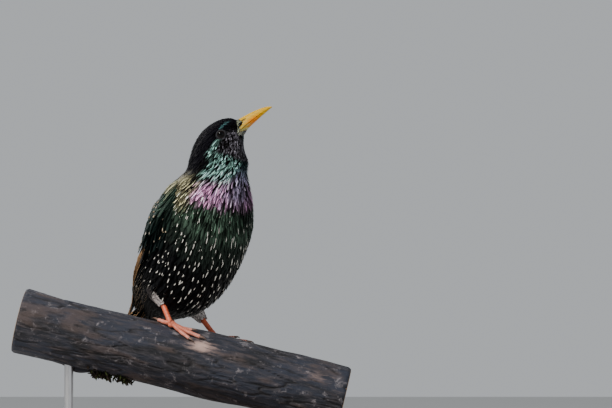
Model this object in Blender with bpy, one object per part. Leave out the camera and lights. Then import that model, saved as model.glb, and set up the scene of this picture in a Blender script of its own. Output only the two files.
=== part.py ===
"""Starling standing alert on a cut length of branch, on a plain display stand. Shapes are in millimetres."""

from math import asin, cos, pi, radians, sin, sqrt, tan

import bmesh
import bpy
import numpy as np
from mathutils import Vector

MM = 0.001
GAP = 0.3

# Where the bird stands and which way it faces
BIRD_AT = (8.0, 0.0, 105.0)
HEADING = 52.0

# Body stations from the tail root to the bill: step, pitch, yaw, half width, back, belly
BODY_START = (-52.0, 0.0, 5.5)
BODY = (
    (0.0, 38, 0, 6.0, 2.0, 3.0),
    (14.0, 40, 0, 13.5, 7.0, 10.5),
    (13.0, 43, 0, 22.0, 15.0, 21.5),
    (22.0, 46, 0, 28.5, 24.0, 33.0),
    (25.5, 51, 0, 31.5, 30.0, 36.0),
    (20.0, 60, 0, 32.0, 31.0, 33.5),
    (13.5, 69, 2, 29.0, 28.5, 28.5),
    (10.0, 79, 10, 24.5, 24.0, 24.5),
    (8.0, 85, 24, 19.0, 19.0, 22.0),
    (7.5, 80, 36, 17.0, 17.5, 21.5),
    (7.0, 68, 42, 16.0, 16.5, 21.0),
    (6.5, 56, 43, 14.0, 15.0, 19.0),
    (6.0, 45, 43, 11.4, 12.5, 14.5),
    (5.5, 36, 43, 8.0, 9.4, 9.5),
    (5.0, 31, 43, 4.4, 4.8, 5.0),
)
NECK_FROM = 120.0
HEAD_FROM = 135.0
BODY_END = 163.5

# Hollow of the flank that the folded wing lies in: depth, middle, half width, then where it fades
WING_BED = (5.2, 52.0, 54.0, (36.0, 64.0), (102.0, 122.0))

# Bill, in the head's own frame: along, half width, culmen, line of the mouth, keel
BILL_BACK = 20.6
BILL_LIFT = 0.95
BILL = (
    (12.0, 5.2, 2.2, -4.3, -5.6),
    (15.5, 5.7, 3.7, -3.6, -5.7),
    (18.0, 5.5, 4.6, -2.8, -5.1),
    (20.5, 4.7, 5.2, -2.0, -4.3),
    (23.0, 4.0, 5.2, -1.4, -3.4),
    (27.0, 3.25, 4.95, -0.7, -2.5),
    (31.0, 2.7, 4.6, -0.2, -1.8),
    (35.0, 2.15, 4.05, 0.2, -1.05),
    (39.0, 1.6, 3.2, 0.5, -0.45),
    (42.0, 1.05, 2.15, 0.6, 0.0),
    (44.2, 0.4, 0.95, 0.62, 0.25),
)
NOSTRIL = (23.6, 2.6)

# Eyes, in the head's frame: along, up, out to the side
EYE = (6.75, 0.9, 9.7)
EYE_RADIUS = 3.9
LID_RING = 3.35
LID_THICK = 0.8

# Folded wing: where the wrist lies on the body and where the tip reaches
WRIST = (8.5, -33.0, 78.0)
WING_TIP = (-72.0, -9.5, -2.0)
WING_AXIS = 12.0
WING_LIFT = 1.2
WING_START = (96.0, -72.0)
WING_TURN = (-1.01, 0.33)

# Feathers of the wing: first root, root pitch, first tip, tip pitch, half width
PRIMARY = (3.0, 1.75, 9.0, 1.6, 3.2)
SECONDARY = (19.0, 2.1, 23.3, 1.4, 3.8)
TERTIAL = (31.5, 2.0, 33.0, 2.3, 4.3)
FLIGHT_ROOT = 18.3
FLIGHT_TIPS = (116, 114, 110, 105, 100, 95, 91, 87, 83, 80, 77, 75, 72, 70, 67, 61, 54, 48)
VANE_THICK = 0.45
VANE_SPACING = 0.9
VANE_TILT = 25.0
VANE_RISE = 0.4
VANE_LINES = (12.7, 24.4, 38.0, 50.0, 62.0, 74.0, 87.0, 100.0)
VANE_SHAPE = ((0.0, 0.5), (0.3, 0.92), (0.7, 1.0), (0.92, 0.66), (1.0, 0.1))
VANE_BLUNT = ((0.0, 0.6), (0.4, 1.0), (0.75, 1.0), (0.94, 0.75), (1.0, 0.25))

# Coverts: first place across, count, pitch, root and reach along, half width, height at root and beyond
COVERTS = (
    (4.1, 9, 3.5, 14.9, 41.0, 3.1, 2.7, 5.3),
    (3.9, 7, 3.5, 4.3, 22.0, 3.1, 3.1, 6.0),
)
COVERT_RISE = 2.8

# The wing's arm: along, lower and upper edge, height
WING_ARM = (
    (-7.0, 6.0, 14.0, 1.2),
    (-2.0, 2.0, 21.0, 3.6),
    (5.0, 0.0, 30.0, 5.0),
    (12.0, 0.0, 37.0, 5.2),
    (20.0, 0.0, 42.0, 4.6),
    (25.0, 0.5, 42.0, 3.0),
    (30.0, 2.0, 40.0, 1.2),
)

# Tail
TAIL_ROOT = (-37.0, 0.0, 20.5)
TAIL_PITCH = -43.0
TAIL_LENGTH = 64.0
TAIL_FIRST = 2.7
TAIL_PITCH_ACROSS = 1.9
TAIL_WIDE = 3.9
TAIL_DROP = 0.36
TAIL_TILT = 14.0
TAIL_SPREAD = 1.15
# Its root and the hollow of the torso that it lies in: along, half width, low, high
TAIL_BLOCK = ((-2.0, 5.0, -4.2, -0.6), (6.0, 8.0, -5.6, 0.2), (12.0, 9.5, -6.0, 0.4))
TAIL_ROOM = ((-2.6, 6.5, -5.3, 2.4), (4.0, 10.5, -7.4, 5.0), (8.0, 16.0, -8.0, 9.0), (27.0, 21.0, -8.2, 9.0))

# Perch
PERCH_RADIUS = 21.5
PERCH_SLOPE = 13.5
PERCH_HALF = 111.0
PERCH_Z = 84.8

# Feet: place on the perch as along and round, heading of the middle toe, ankle in the bird's frame
FEET = {
    "right": (-11.8, -27.7, -13.0, (-17.4, -17.0, 25.5), 0.40),
    "left": (19.4, 40.0, -19.0, (-20.2, 12.2, 17.0), 0.45),
}
# Toes: turn from the middle one, length, claw, radius; and their height over the bark
TOES = ((17.0, 14.0, 5.5, 1.35), (0.0, 21.0, 6.5, 1.5), (-17.0, 16.0, 5.5, 1.35), (158.0, 11.0, 7.5, 1.5))
TOE_CLEAR = GAP + 0.05

# Stand
BASE_SIZE = (210.0, 130.0, 12.0)
BASE_CORNER = 9.0
ROD_RADIUS = 3.0
ROD_X = (-75.0, 65.0)
ROD_INTO_BASE = 8.0
ROD_INTO_PERCH = 15.0

COLOURS = {
    "plumage": (0.02, 0.03, 0.03),
    "wing_feathers": (0.10, 0.08, 0.06),
    "bill_horn": (0.80, 0.55, 0.10),
    "eye_dark": (0.02, 0.012, 0.008),
    "leg_scales": (0.62, 0.22, 0.14),
    "bark": (0.14, 0.12, 0.12),
    "base_wood": (0.25, 0.15, 0.08),
    "rod_steel": (0.55, 0.55, 0.56),
}


def unit(v):
    v = np.asarray(v, float)
    return v / np.linalg.norm(v)


def direction(pitch, yaw):
    p, y = radians(pitch), radians(yaw)
    return np.array([cos(p) * cos(y), cos(p) * sin(y), sin(p)])


def to_world(p):
    """A point of the bird's frame, forward, left and up, in the world."""
    p = np.asarray(p, float)
    a = radians(HEADING)
    return np.stack(
        [
            BIRD_AT[0] + p[..., 0] * cos(a) + p[..., 1] * sin(a),
            BIRD_AT[1] - p[..., 0] * sin(a) + p[..., 1] * cos(a),
            BIRD_AT[2] + p[..., 2],
        ],
        -1,
    )


def body_columns():
    """Where each station lies along the body, and its centre, angles and sizes."""
    centre = np.array(BODY_START, float)
    along, columns = [], []
    total = 0.0
    before = None
    for step, pitch, yaw, wide, back, belly in BODY:
        if before is not None:
            centre = centre + step * direction((pitch + before[0]) / 2, (yaw + before[1]) / 2)
        total += step
        along.append(total)
        columns.append([*centre, pitch, yaw, wide, back, belly])
        before = (pitch, yaw)
    return np.array(along), np.array(columns, float)


def slopes(along, columns):
    found = np.zeros_like(columns)
    rise = np.diff(columns, axis=0) / np.diff(along)[:, None]
    found[0], found[-1] = rise[0], rise[-1]
    for i in range(1, len(along) - 1):
        near, far = along[i] - along[i - 1], along[i + 1] - along[i]
        found[i] = (rise[i - 1] * far + rise[i] * near) / (near + far)
        turned = rise[i - 1, 5:] * rise[i, 5:] <= 0
        found[i, 5:][turned] = 0
    return found


ALONG, COLUMNS = body_columns()
SLOPES = slopes(ALONG, COLUMNS)


def body_row(s):
    """Centre, forward, side, up and sizes of the body at this distance along it."""
    i = int(np.clip(np.searchsorted(ALONG, s, side="right") - 1, 0, len(ALONG) - 2))
    h = ALONG[i + 1] - ALONG[i]
    t = (s - ALONG[i]) / h
    q = (2 * t**3 - 3 * t**2 + 1) * COLUMNS[i] + (t**3 - 2 * t**2 + t) * h * SLOPES[i]
    q = q + (-2 * t**3 + 3 * t**2) * COLUMNS[i + 1] + (t**3 - t**2) * h * SLOPES[i + 1]
    p, y = radians(q[3]), radians(q[4])
    forward = np.array([cos(p) * cos(y), cos(p) * sin(y), sin(p)])
    up = np.array([-sin(p) * cos(y), -sin(p) * sin(y), cos(p)])
    side = np.array([-sin(y), cos(y), 0.0])
    return q[:3], forward, side, up, q[5:8]


def ease(x, low, high):
    t = min(max((x - low) / (high - low), 0.0), 1.0)
    return t * t * (3 - 2 * t)


def wing_bed(s, angle):
    """How far the flank gives way here for the folded wing."""
    deep, middle, half, start, end = WING_BED
    from_back = abs((angle + 180.0) % 360.0 - 180.0)
    return deep * ease(half - abs(from_back - middle), 0.0, half) * ease(s, *start) * (1 - ease(s, *end))


def body_point(s, angle, lift=0.0):
    """A point over the body: angle 0 is the back, 90 the left side, 180 the belly."""
    centre, _, side, up, (wide, back, belly) = body_row(s)
    a = radians(angle)
    depth = back if cos(a) > 0 else belly
    lift = lift - wing_bed(s, angle)
    return centre + sin(a) * (wide + lift) * side + cos(a) * (depth + lift) * up


def body_ring(s, count, lift=0.0):
    return [body_point(s, 360.0 * k / count, lift) for k in range(count)]


TABLE = [body_row(s) for s in np.linspace(0, BODY_END, 240)]
TABLE_CENTRE = np.array([row[0] for row in TABLE])
TABLE_FORWARD = np.array([row[1] for row in TABLE])


def outside(p, lift):
    """The point itself, or moved outwards until it lies this far over the body."""
    p = np.asarray(p, float)
    ahead = ((p - TABLE_CENTRE) * TABLE_FORWARD).sum(axis=1)
    far = np.linalg.norm(p - TABLE_CENTRE, axis=1)
    j = int(np.argmin(np.abs(ahead) + 0.05 * far))
    if j in (0, len(TABLE) - 1) and abs(ahead[j]) > 0.7:
        return p
    k = min(j + 1, len(TABLE) - 1) if ahead[j] > 0 else max(j - 1, 0)
    f = ahead[j] / (ahead[j] - ahead[k]) if ahead[j] * ahead[k] < 0 else 0.0
    centre, _, side, up, size = (a * (1 - f) + b * f for a, b in zip(TABLE[j], TABLE[k]))
    x, y = (p - centre) @ side, (p - centre) @ up
    wide = size[0] + lift
    depth = (size[1] if y > 0 else size[2]) + lift
    r = sqrt((x / wide) ** 2 + (y / depth) ** 2)
    if r >= 1 or r < 0.05:
        return p
    return p + (1 / r - 1) * (x * side + y * up)


def head_frame():
    end, forward, side, up, _ = body_row(BODY_END)
    return end - BILL_BACK * forward - BILL_LIFT * up, forward, side, up


def head_point(along, out, height):
    """A point of the head's frame, out to the left positive."""
    origin, forward, side, up = head_frame()
    return origin + along * forward + out * side + height * up


def perch_radius(along, angle):
    """Radius of the branch, with its slow swellings and a low knot."""
    r = PERCH_RADIUS
    r += 0.5 * sin(along / 23.0 + 0.7) + 0.35 * sin(along / 11.0 + radians(angle) * 2)
    r += 0.4 * sin(radians(angle) * 3 + along / 37.0)
    knot = ((along + 66.0) / 9.0) ** 2 + ((angle - 160.0) / 26.0) ** 2
    return r + 4.5 * np.exp(-knot)


def perch_point(along, angle, lift=0.0):
    """A point on the branch: angle 0 is its top, 90 the side away from the camera."""
    b, a = radians(PERCH_SLOPE), radians(angle)
    axis = np.array([cos(b), 0.0, -sin(b)])
    normal = np.array([sin(b), 0.0, cos(b)])
    r = perch_radius(along, ((angle + 180.0) % 360.0) - 180.0) + lift
    sideways = np.array([0.0, 1.0, 0.0])
    return np.array([0.0, 0.0, PERCH_Z]) + along * axis + r * (cos(a) * normal + sin(a) * sideways)


def mesh_object(name, points, faces):
    mesh = bpy.data.meshes.new(name)
    mesh.from_pydata([tuple(float(c) * MM for c in p) for p in points], [], faces)
    bm = bmesh.new()
    bm.from_mesh(mesh)
    bmesh.ops.triangulate(bm, faces=bm.faces)
    bmesh.ops.recalc_face_normals(bm, faces=bm.faces)
    bm.to_mesh(mesh)
    bm.free()
    obj = bpy.data.objects.new(name, mesh)
    bpy.context.scene.collection.objects.link(obj)
    return obj


def loft(name, rings):
    """A closed body through rings of the same count, with a fan at each end."""
    count = len(rings[0])
    points = [p for ring in rings for p in ring]
    faces = []
    for i in range(len(rings) - 1):
        for k in range(count):
            a, b = i * count + k, i * count + (k + 1) % count
            faces.append((a, b, b + count, a + count))
    for start, ring in ((0, rings[0]), ((len(rings) - 1) * count, rings[-1])):
        middle = len(points)
        points.append(np.mean(ring, axis=0))
        for k in range(count):
            faces.append((start + k, start + (k + 1) % count, middle))
    return mesh_object(name, points, faces)


def tube(name, path, radii, count, flat=1.0, upright=(0.0, 0.0, 1.0)):
    """A round body along a path; flat squeezes it along the upright direction."""
    path = [np.asarray(p, float) for p in path]
    rings = []
    for i, p in enumerate(path):
        tangent = unit(path[min(i + 1, len(path) - 1)] - path[max(i - 1, 0)])
        side = unit(np.cross(tangent, upright))
        up = np.cross(side, tangent)
        ring = []
        for k in range(count):
            a = 2 * pi * k / count
            ring.append(p + radii[i] * (cos(a) * side + flat * sin(a) * up))
        rings.append(ring)
    return loft(name, rings)


def cylinder(name, centre, radius, low, high, count):
    rings = []
    for z in (low, high):
        ring = []
        for k in range(count):
            a = 2 * pi * k / count
            ring.append((centre[0] + radius * cos(a), centre[1] + radius * sin(a), z))
        rings.append(ring)
    return loft(name, rings)


def ball(name, centre, radius, count, axes=None, scale=(1, 1, 1)):
    """A sphere or an ellipsoid with its poles along the third axis."""
    axes = np.eye(3) if axes is None else np.asarray(axes, float)
    rows = count // 2
    points, faces = [], []
    for i in range(1, rows):
        lat = pi * i / rows
        for k in range(count):
            lon = 2 * pi * k / count
            local = np.array([sin(lat) * cos(lon), sin(lat) * sin(lon), cos(lat)])
            points.append(np.asarray(centre) + radius * (local * scale) @ axes)
    for i in range(rows - 2):
        for k in range(count):
            a, b = i * count + k, i * count + (k + 1) % count
            faces.append((a, b, b + count, a + count))
    for start, sign in ((0, 1), ((rows - 2) * count, -1)):
        middle = len(points)
        points.append(np.asarray(centre) + radius * (np.array([0, 0, sign]) * scale) @ axes)
        for k in range(count):
            faces.append((start + k, start + (k + 1) % count, middle))
    return mesh_object(name, points, faces)


def ring_torus(name, centre, across, upward, outward, big, small, count, around, scale=(1.0, 1.0)):
    points, faces = [], []
    for i in range(count):
        a = 2 * pi * i / count
        spoke = cos(a) * scale[0] * np.asarray(across) + sin(a) * scale[1] * np.asarray(upward)
        for k in range(around):
            b = 2 * pi * k / around
            points.append(centre + (big + small * cos(b)) * spoke + small * sin(b) * np.asarray(outward))
    for i in range(count):
        for k in range(around):
            a, b = i * around + k, i * around + (k + 1) % around
            c, d = ((i + 1) % count) * around + (k + 1) % around, ((i + 1) % count) * around + k
            faces.append((a, b, c, d))
    return mesh_object(name, points, faces)


def boolean(obj, others, operation, solver="EXACT"):
    """Joins or cuts all the others at once, applies it and removes them."""
    group = bpy.data.collections.new(obj.name + "_helpers")
    bpy.context.scene.collection.children.link(group)
    for other in others:
        for held in list(other.users_collection):
            held.objects.unlink(other)
        group.objects.link(other)
    step = obj.modifiers.new("shape", "BOOLEAN")
    step.operation = operation
    step.solver = solver
    step.operand_type = "COLLECTION"
    step.collection = group
    bpy.context.view_layer.update()
    graph = bpy.context.evaluated_depsgraph_get()
    made = bpy.data.meshes.new_from_object(obj.evaluated_get(graph))
    obj.modifiers.clear()
    old = obj.data
    obj.data = made
    bpy.data.meshes.remove(old)
    for other in list(group.objects):
        data = other.data
        bpy.data.objects.remove(other)
        bpy.data.meshes.remove(data)
    bpy.data.collections.remove(group)
    return obj


def keep_largest(obj):
    """Keeps the largest closed surface and drops crumbs a Boolean left."""
    bm = bmesh.new()
    bm.from_mesh(obj.data)
    seen, groups = set(), []
    for face in bm.faces:
        if face in seen:
            continue
        stack, group = [face], []
        seen.add(face)
        while stack:
            here = stack.pop()
            group.append(here)
            for edge in here.edges:
                if len(edge.link_faces) != 2:
                    continue
                for other in edge.link_faces:
                    if other not in seen:
                        seen.add(other)
                        stack.append(other)
        groups.append(group)
    groups.sort(key=lambda g: sum(f.calc_area() for f in g))
    for group in groups[:-1]:
        bmesh.ops.delete(bm, geom=group, context="FACES")
    bm.to_mesh(obj.data)
    bm.free()
    return obj


def finish(obj, name, slot, anchor):
    """Names the part, sets its material and moves its origin to the anchor."""
    obj.name = name
    obj.data.name = name
    at = Vector([float(c) * MM for c in anchor])
    for vertex in obj.data.vertices:
        vertex.co = vertex.co - at
    obj.location = at
    material = bpy.data.materials.get(slot)
    if material is None:
        material = bpy.data.materials.new(slot)
        material.use_nodes = True
        shader = material.node_tree.nodes["Principled BSDF"]
        shader.inputs["Base Color"].default_value = (*COLOURS[slot], 1.0)
        shader.inputs["Roughness"].default_value = 0.3 if slot in ("eye_dark", "rod_steel") else 0.6
        shader.inputs["Metallic"].default_value = 1.0 if slot == "rod_steel" else 0.0
    obj.data.materials.clear()
    obj.data.materials.append(material)
    return obj


def moved(ring, by):
    return [np.asarray(p) + by for p in ring]


def body_span(name, start, end, rings, count, shift):
    """A length of the body as one solid; shift leaves the gap at its rear end."""
    stations = np.linspace(start, end, rings)
    lofted = [to_world(np.array(body_ring(s, count))) for s in stations]
    if shift:
        forward = to_world(body_row(start)[1]) - to_world((0, 0, 0))
        lofted[0] = moved(to_world(np.array(body_ring(start, count))), GAP * forward)
    return loft(name, [list(r) for r in lofted])


def bill_ring(row, part, grow=0.0):
    """One cross-section: part is upper, lower or both."""
    along, wide, top, mouth, keel = row
    points = []
    steps = 8
    if part in ("upper", "both"):
        floor = mouth + (GAP / 2 if part == "upper" else 0.0)
        for k in range(steps + 1):
            a = pi * k / steps
            points.append((cos(a) * (wide + grow), floor + (top + grow - floor) * sin(a)))
    if part in ("lower", "both"):
        roof = mouth - (GAP / 2 if part == "lower" else 0.0)
        first = 1 if part == "both" else 0
        for k in range(first, steps + 1 - first):
            a = pi + pi * k / steps
            points.append((cos(a) * (wide * 0.93 + grow), roof + (roof - keel + grow) * sin(a)))
    return [head_point(along, out, height) for out, height in points]


def bill(name, part):
    rings = [bill_ring(row, part) for row in BILL]
    return loft(name, [list(to_world(np.array(r))) for r in rings])


def bill_cutter():
    rows = [(BILL[0][0] - 0.4, *BILL[0][1:]), *BILL[1:6]]
    rings = [bill_ring(row, "both", GAP) for row in rows]
    return loft("bill_room", [list(to_world(np.array(r))) for r in rings])


def turned(v):
    return to_world(np.asarray(v, float)) - to_world((0, 0, 0))


def head():
    obj = body_span("head", HEAD_FROM, BODY_END, 19, 30, True)
    _, forward, side, up = head_frame()
    lids, rooms = [], [bill_cutter()]
    for sign in (-1, 1):
        outward = unit(sign * side + 0.16 * forward)
        across = unit(forward - (forward @ outward) * outward)
        rim = head_point(EYE[0], sign * EYE[2], EYE[1]) + 2.35 * outward
        axes = [turned(v) for v in (across, up, outward)]
        lids.append(ring_torus("lid", to_world(rim), *axes, LID_RING, LID_THICK, 20, 6, (1.06, 0.96)))
        middle = to_world(head_point(EYE[0], sign * EYE[2], EYE[1]))
        rooms.append(ball("eye_room", middle, EYE_RADIUS + GAP, 18))
    boolean(obj, lids, "UNION")
    boolean(obj, rooms, "DIFFERENCE")
    return finish(keep_largest(obj), "head", "plumage", to_world(body_row(HEAD_FROM)[0]))


def mandibles():
    _, forward, side, up = head_frame()
    upper = bill("bill_upper", "upper")
    axes = np.array([turned(side), turned(up), turned(forward)])
    holes = []
    for sign in (-1, 1):
        at = to_world(head_point(NOSTRIL[0], sign * 3.35, NOSTRIL[1]))
        holes.append(ball("nostril", at, 1.0, 12, axes, (0.8, 0.5, 1.3)))
    boolean(upper, holes, "DIFFERENCE")
    anchor = to_world(head_point(15.5, 0, -2.9))
    finish(keep_largest(upper), "bill_upper", "bill_horn", anchor)
    finish(bill("bill_lower", "lower"), "bill_lower", "bill_horn", anchor)


def eyes():
    for name, sign in (("left", 1), ("right", -1)):
        at = to_world(head_point(EYE[0], sign * EYE[2], EYE[1]))
        finish(ball("eye", at, EYE_RADIUS, 18), "eye_" + name, "eye_dark", at)


def foot_base(side):
    along, round_, _, _, _ = FEET[side]
    return perch_point(along, round_, 2.5)


def tarsus_path(side):
    low = foot_base(side)
    high = to_world(FEET[side][3])
    return [high + (low - high) * f for f in (0.0, 0.25, 0.5, 0.75, 0.92, 1.0)]


def tarsus(name, side, grow=0.0):
    radii = [r + grow for r in (2.4, 2.1, 1.85, 1.75, 1.9, 1.8)]
    return tube(name, tarsus_path(side), radii, 10, 1.0, (1.0, 0.0, 0.2))


def tuft(side):
    """Feathered thigh and ankle, from inside the belly down the shank."""
    path = tarsus_path(side)
    high, low = path[0], path[-1]
    end = FEET[side][4]
    start = high - 0.35 * (low - high) + np.array([0.0, 0.0, 5.0])
    points = [start, high, high + (low - high) * end * 0.55, high + (low - high) * end]
    return tube("tuft", points, (8.0, 7.0, 4.6, 2.9), 14, 1.0, (1.0, 0.0, 0.2))


def toe_path(side, turn, length, radius, claw):
    along, round_, heading, _, _ = FEET[side]
    turn = turn if side == "right" else -turn
    a = radians(heading + turn)

    def on_bark(d, height):
        return perch_point(along + d * cos(a), round_ + np.degrees(d * sin(a) / PERCH_RADIUS), height)

    path, radii = [], []
    steps = 7
    for i in range(steps + 1):
        f = i / steps
        d = f * length
        lift = 2.3 * (1 - f) ** 3 if i < 4 else 0.0
        swell = 1.0 + 0.14 * cos(2 * pi * f * 3)
        r = radius * (1.08 - 0.28 * f) * swell
        path.append(on_bark(d, r + TOE_CLEAR + lift))
        radii.append(r)
    nail, thin = [], []
    for i in range(6):
        f = i / 5
        d = length - 0.8 + claw * sin(f * 1.35) * 0.95
        thick = 0.95 * (1 - f) + 0.12
        high = 1.35 + 0.9 * sin(f * 2.3) * (1 - 0.45 * f) - 1.15 * f**2 + GAP * f
        nail.append(on_bark(d, max(high, thick + TOE_CLEAR)))
        thin.append(thick)
    return path, radii, nail, thin


def foot(side):
    obj = tarsus("foot", side)
    joins = [ball("joint", foot_base(side), 2.15, 12)]
    for turn, length, claw, radius in TOES:
        path, radii, nail, thin = toe_path(side, turn, length, radius, claw)
        joins.append(tube("toe", path, radii, 8))
        joins.append(tube("claw", nail, thin, 6))
    boolean(obj, joins, "UNION")
    finish(keep_largest(obj), "foot_" + side, "leg_scales", foot_base(side))


def sheet(a, t):
    """The right folded wing's under surface: a runs from wrist to tip, t from the lower edge up."""
    wrist, tip = np.array(WRIST), np.array(WING_TIP)
    chord = unit(tip - wrist)
    cross = np.array([-0.45, 0.62, 0.64])
    cross = unit(cross - (cross @ chord) * chord)
    flat = wrist + a * chord + (t - WING_AXIS) * cross
    s = WING_START[0] + WING_TURN[0] * a
    if s < 2.0:
        return outside(flat, WING_LIFT)
    angle = WING_START[1] + WING_TURN[1] * a
    wide, back = body_row(s)[4][:2]
    bent = body_point(s, angle + np.degrees((t - WING_AXIS) / ((wide + back) / 2 + 2)), WING_LIFT)
    q = min(max((a - 62.0) / 38.0, 0.0), 1.0)
    if q == 0:
        return bent
    q = q * q * (3 - 2 * q)
    return outside(bent * (1 - q) + flat * q, WING_LIFT)


def wing_point(a, t, h):
    """A point this high over the wing's under surface."""
    at = sheet(a, t)
    along = sheet(a + 0.8, t) - sheet(a - 0.8, t)
    across = sheet(a, t + 0.8) - sheet(a, t - 0.8)
    return at + h * unit(np.cross(across, along))


def feather_heights(places, base, tilt, spacing):
    """Heights that keep shingled vanes apart, each one lying over the last."""
    heights = [base]
    for before, here in zip(places, places[1:]):
        pitch = here - before
        heights.append(heights[-1] + max(0.0, (spacing - pitch * sin(tilt)) / cos(tilt)))
    return heights


def vane_stations(start, end):
    """Cross-sections on lines that neighbouring feathers share, so that they bend alike."""
    near_tip = end - min(5.0, 0.16 * (end - start))
    shared = [line for line in VANE_LINES if start + 3.0 < line < near_tip - 2.0]
    return [start, *shared, near_tip, end]


def vane(name, place, root, tip, wide, heights, tilt, thick, shape, inner=None):
    """One stiff feather: root and tip in the sheet's own along and across, shingled by its tilt."""
    root, tip = np.array(root, float), np.array(tip, float)
    along = tip - root
    across = np.array([-along[1], along[0]]) / np.linalg.norm(along)
    parts, shares = zip(*shape)
    rings = []
    for line in vane_stations(root[0], tip[0]):
        f = (line - root[0]) / along[0]
        share = np.interp(f, parts, shares)
        at = root + f * along
        h = heights[0] + min(1.0, f / VANE_RISE) * (heights[1] - heights[0])
        half = thick / 2 * (1.0 if f < 0.75 else 0.8)
        ring = []
        for edge, lift in ((-1, half), (1, half), (1, -half), (-1, -half)):
            x = edge * share * (wide if edge > 0 or inner is None else inner)
            spot = at + x * across
            ring.append(place(spot[0], spot[1], h - x * tan(tilt) + lift))
        rings.append(ring)
    return loft(name, rings)


def wing_place(sign):
    return lambda a, t, h: to_world(wing_point(a, t, h) * (1, sign, 1))


def slab(name, place, rows):
    """A closed body over the wing's own coordinates, thin at its rim; each row is along, edges, height."""
    columns = 9
    top, bottom = [], []
    for a, low, high, tall in rows:
        for k in range(columns):
            f = k / (columns - 1)
            t = low + f * (high - low)
            rim = sqrt(min(1.0, 4.0 * f, 4.0 * (1 - f)))
            top.append(place(a, t, 0.35 + (tall - 0.35) * rim))
            bottom.append(place(a, t, 0.0))
    n = len(rows)
    half = n * columns
    faces = []
    for i in range(n - 1):
        for k in range(columns - 1):
            a = i * columns + k
            faces.append((a, a + 1, a + 1 + columns, a + columns))
            faces.append((half + a, half + a + columns, half + a + 1 + columns, half + a + 1))
        for k in (0, columns - 1):
            a = i * columns + k
            faces.append((a, a + columns, half + a + columns, half + a))
    for k in range(columns - 1):
        for a in (k, (n - 1) * columns + k):
            faces.append((a, a + 1, half + a + 1, half + a))
    return mesh_object(name, top + bottom, faces)


def wing(name, sign):
    """Forearm under its small coverts, then flight feathers and two tiers of coverts rooted in it."""
    place = wing_place(sign)
    obj = slab(name, place, WING_ARM)
    tilt = radians(VANE_TILT)
    feathers = []
    rows = [(kind, i) for kind, count in ((PRIMARY, 9), (SECONDARY, 6), (TERTIAL, 3)) for i in range(count)]
    roots = [kind[0] + kind[1] * i for kind, i in rows]
    tips = [kind[2] + kind[3] * i for kind, i in rows]
    low = feather_heights(roots, 1.25, tilt, VANE_SPACING)
    far = feather_heights(tips, 0.95, tilt, VANE_SPACING)
    for i, (root, tip) in enumerate(zip(roots, tips)):
        wide = rows[i][0][4]
        ends = ((FLIGHT_ROOT, root), (FLIGHT_TIPS[i], tip))
        feathers.append(vane("flight", place, *ends, wide, (low[i], far[i]), tilt, VANE_THICK, VANE_SHAPE))
    for first, count, pitch, start, reach, wide, low, high in COVERTS:
        tilt = asin(VANE_SPACING / pitch)
        for i in range(count):
            t = first + pitch * i
            rise = COVERT_RISE * (t - PRIMARY[0]) / 28.0
            ends = ((start, t), (reach - 0.3 * i, t + 1.5))
            heights = (low, high + rise)
            feathers.append(vane("covert", place, *ends, wide, heights, tilt, VANE_THICK, VANE_BLUNT))
    boolean(obj, feathers, "UNION", "MANIFOLD")
    finish(keep_largest(obj), name, "wing_feathers", to_world(np.array(WRIST) * (1, sign, 1)))


def tail_axes():
    back = -direction(-TAIL_PITCH, 0)
    return back, np.array([0.0, 1.0, 0.0]), unit(np.cross(np.array([0.0, 1.0, 0.0]), back)) * -1


def tail_point(along, out, height):
    back, side, up = tail_axes()
    if up[2] < 0:
        up = -up
    return np.array(TAIL_ROOT) + along * back + out * side + height * up


def tail_block():
    rings = []
    for along, w, low, high in TAIL_BLOCK:
        edges = ((-w, low), (w, low), (w, high - 2.4), (0, high), (-w, high - 2.4))
        ring = [tail_point(along, out, height) for out, height in edges]
        rings.append(list(to_world(np.array(ring))))
    return loft("tail_block", rings)


def tail_place(sign):
    return lambda along, out, height: to_world(tail_point(along, out * sign, height))


def tail():
    """Twelve feathers, the middle pair on top and the outer ones shingled under them."""
    obj = tail_block()
    tilt = radians(TAIL_TILT)
    feathers = []
    for sign in (-1, 1):
        for i in range(6):
            out = TAIL_FIRST + TAIL_PITCH_ACROSS * i
            h = -TAIL_DROP * i - out * tan(tilt)
            spread = 0.8 + (TAIL_SPREAD - 0.8) * i / 5
            ends = ((6.0, out * 0.8), (TAIL_LENGTH - 3.0 + 0.6 * i, out * spread))
            inner = min(TAIL_WIDE, out * 0.8 - 0.35)
            shape = (VANE_THICK, VANE_BLUNT, inner)
            feathers.append(vane("rectrix", tail_place(sign), *ends, TAIL_WIDE, (h, h), tilt, *shape))
    boolean(obj, feathers, "UNION", "MANIFOLD")
    finish(keep_largest(obj), "tail", "wing_feathers", to_world(TAIL_ROOT))


def tail_room():
    rings = []
    for along, wide, low, high in TAIL_ROOM:
        ring = [tail_point(along, o, h) for o, h in ((-wide, low), (wide, low), (wide, high), (-wide, high))]
        rings.append(list(to_world(np.array(ring))))
    return loft("tail_room", rings)


def torso():
    obj = body_span("torso", 0.0, NECK_FROM, 24, 40, False)
    boolean(obj, [tuft(side) for side in FEET], "UNION")
    rooms = [tarsus("shank_room", side, GAP) for side in FEET]
    rooms.append(tail_room())
    boolean(obj, rooms, "DIFFERENCE")
    finish(keep_largest(obj), "torso", "plumage", to_world(body_row(60.0)[0]))


def neck():
    obj = body_span("neck", NECK_FROM, HEAD_FROM, 7, 30, True)
    finish(obj, "neck", "plumage", to_world(body_row(NECK_FROM)[0]))


def under_perch(x):
    """Height of the branch's underside above this place on the base."""
    b = radians(PERCH_SLOPE)
    return PERCH_Z - x * sin(b) / cos(b) - PERCH_RADIUS / cos(b)


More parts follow.
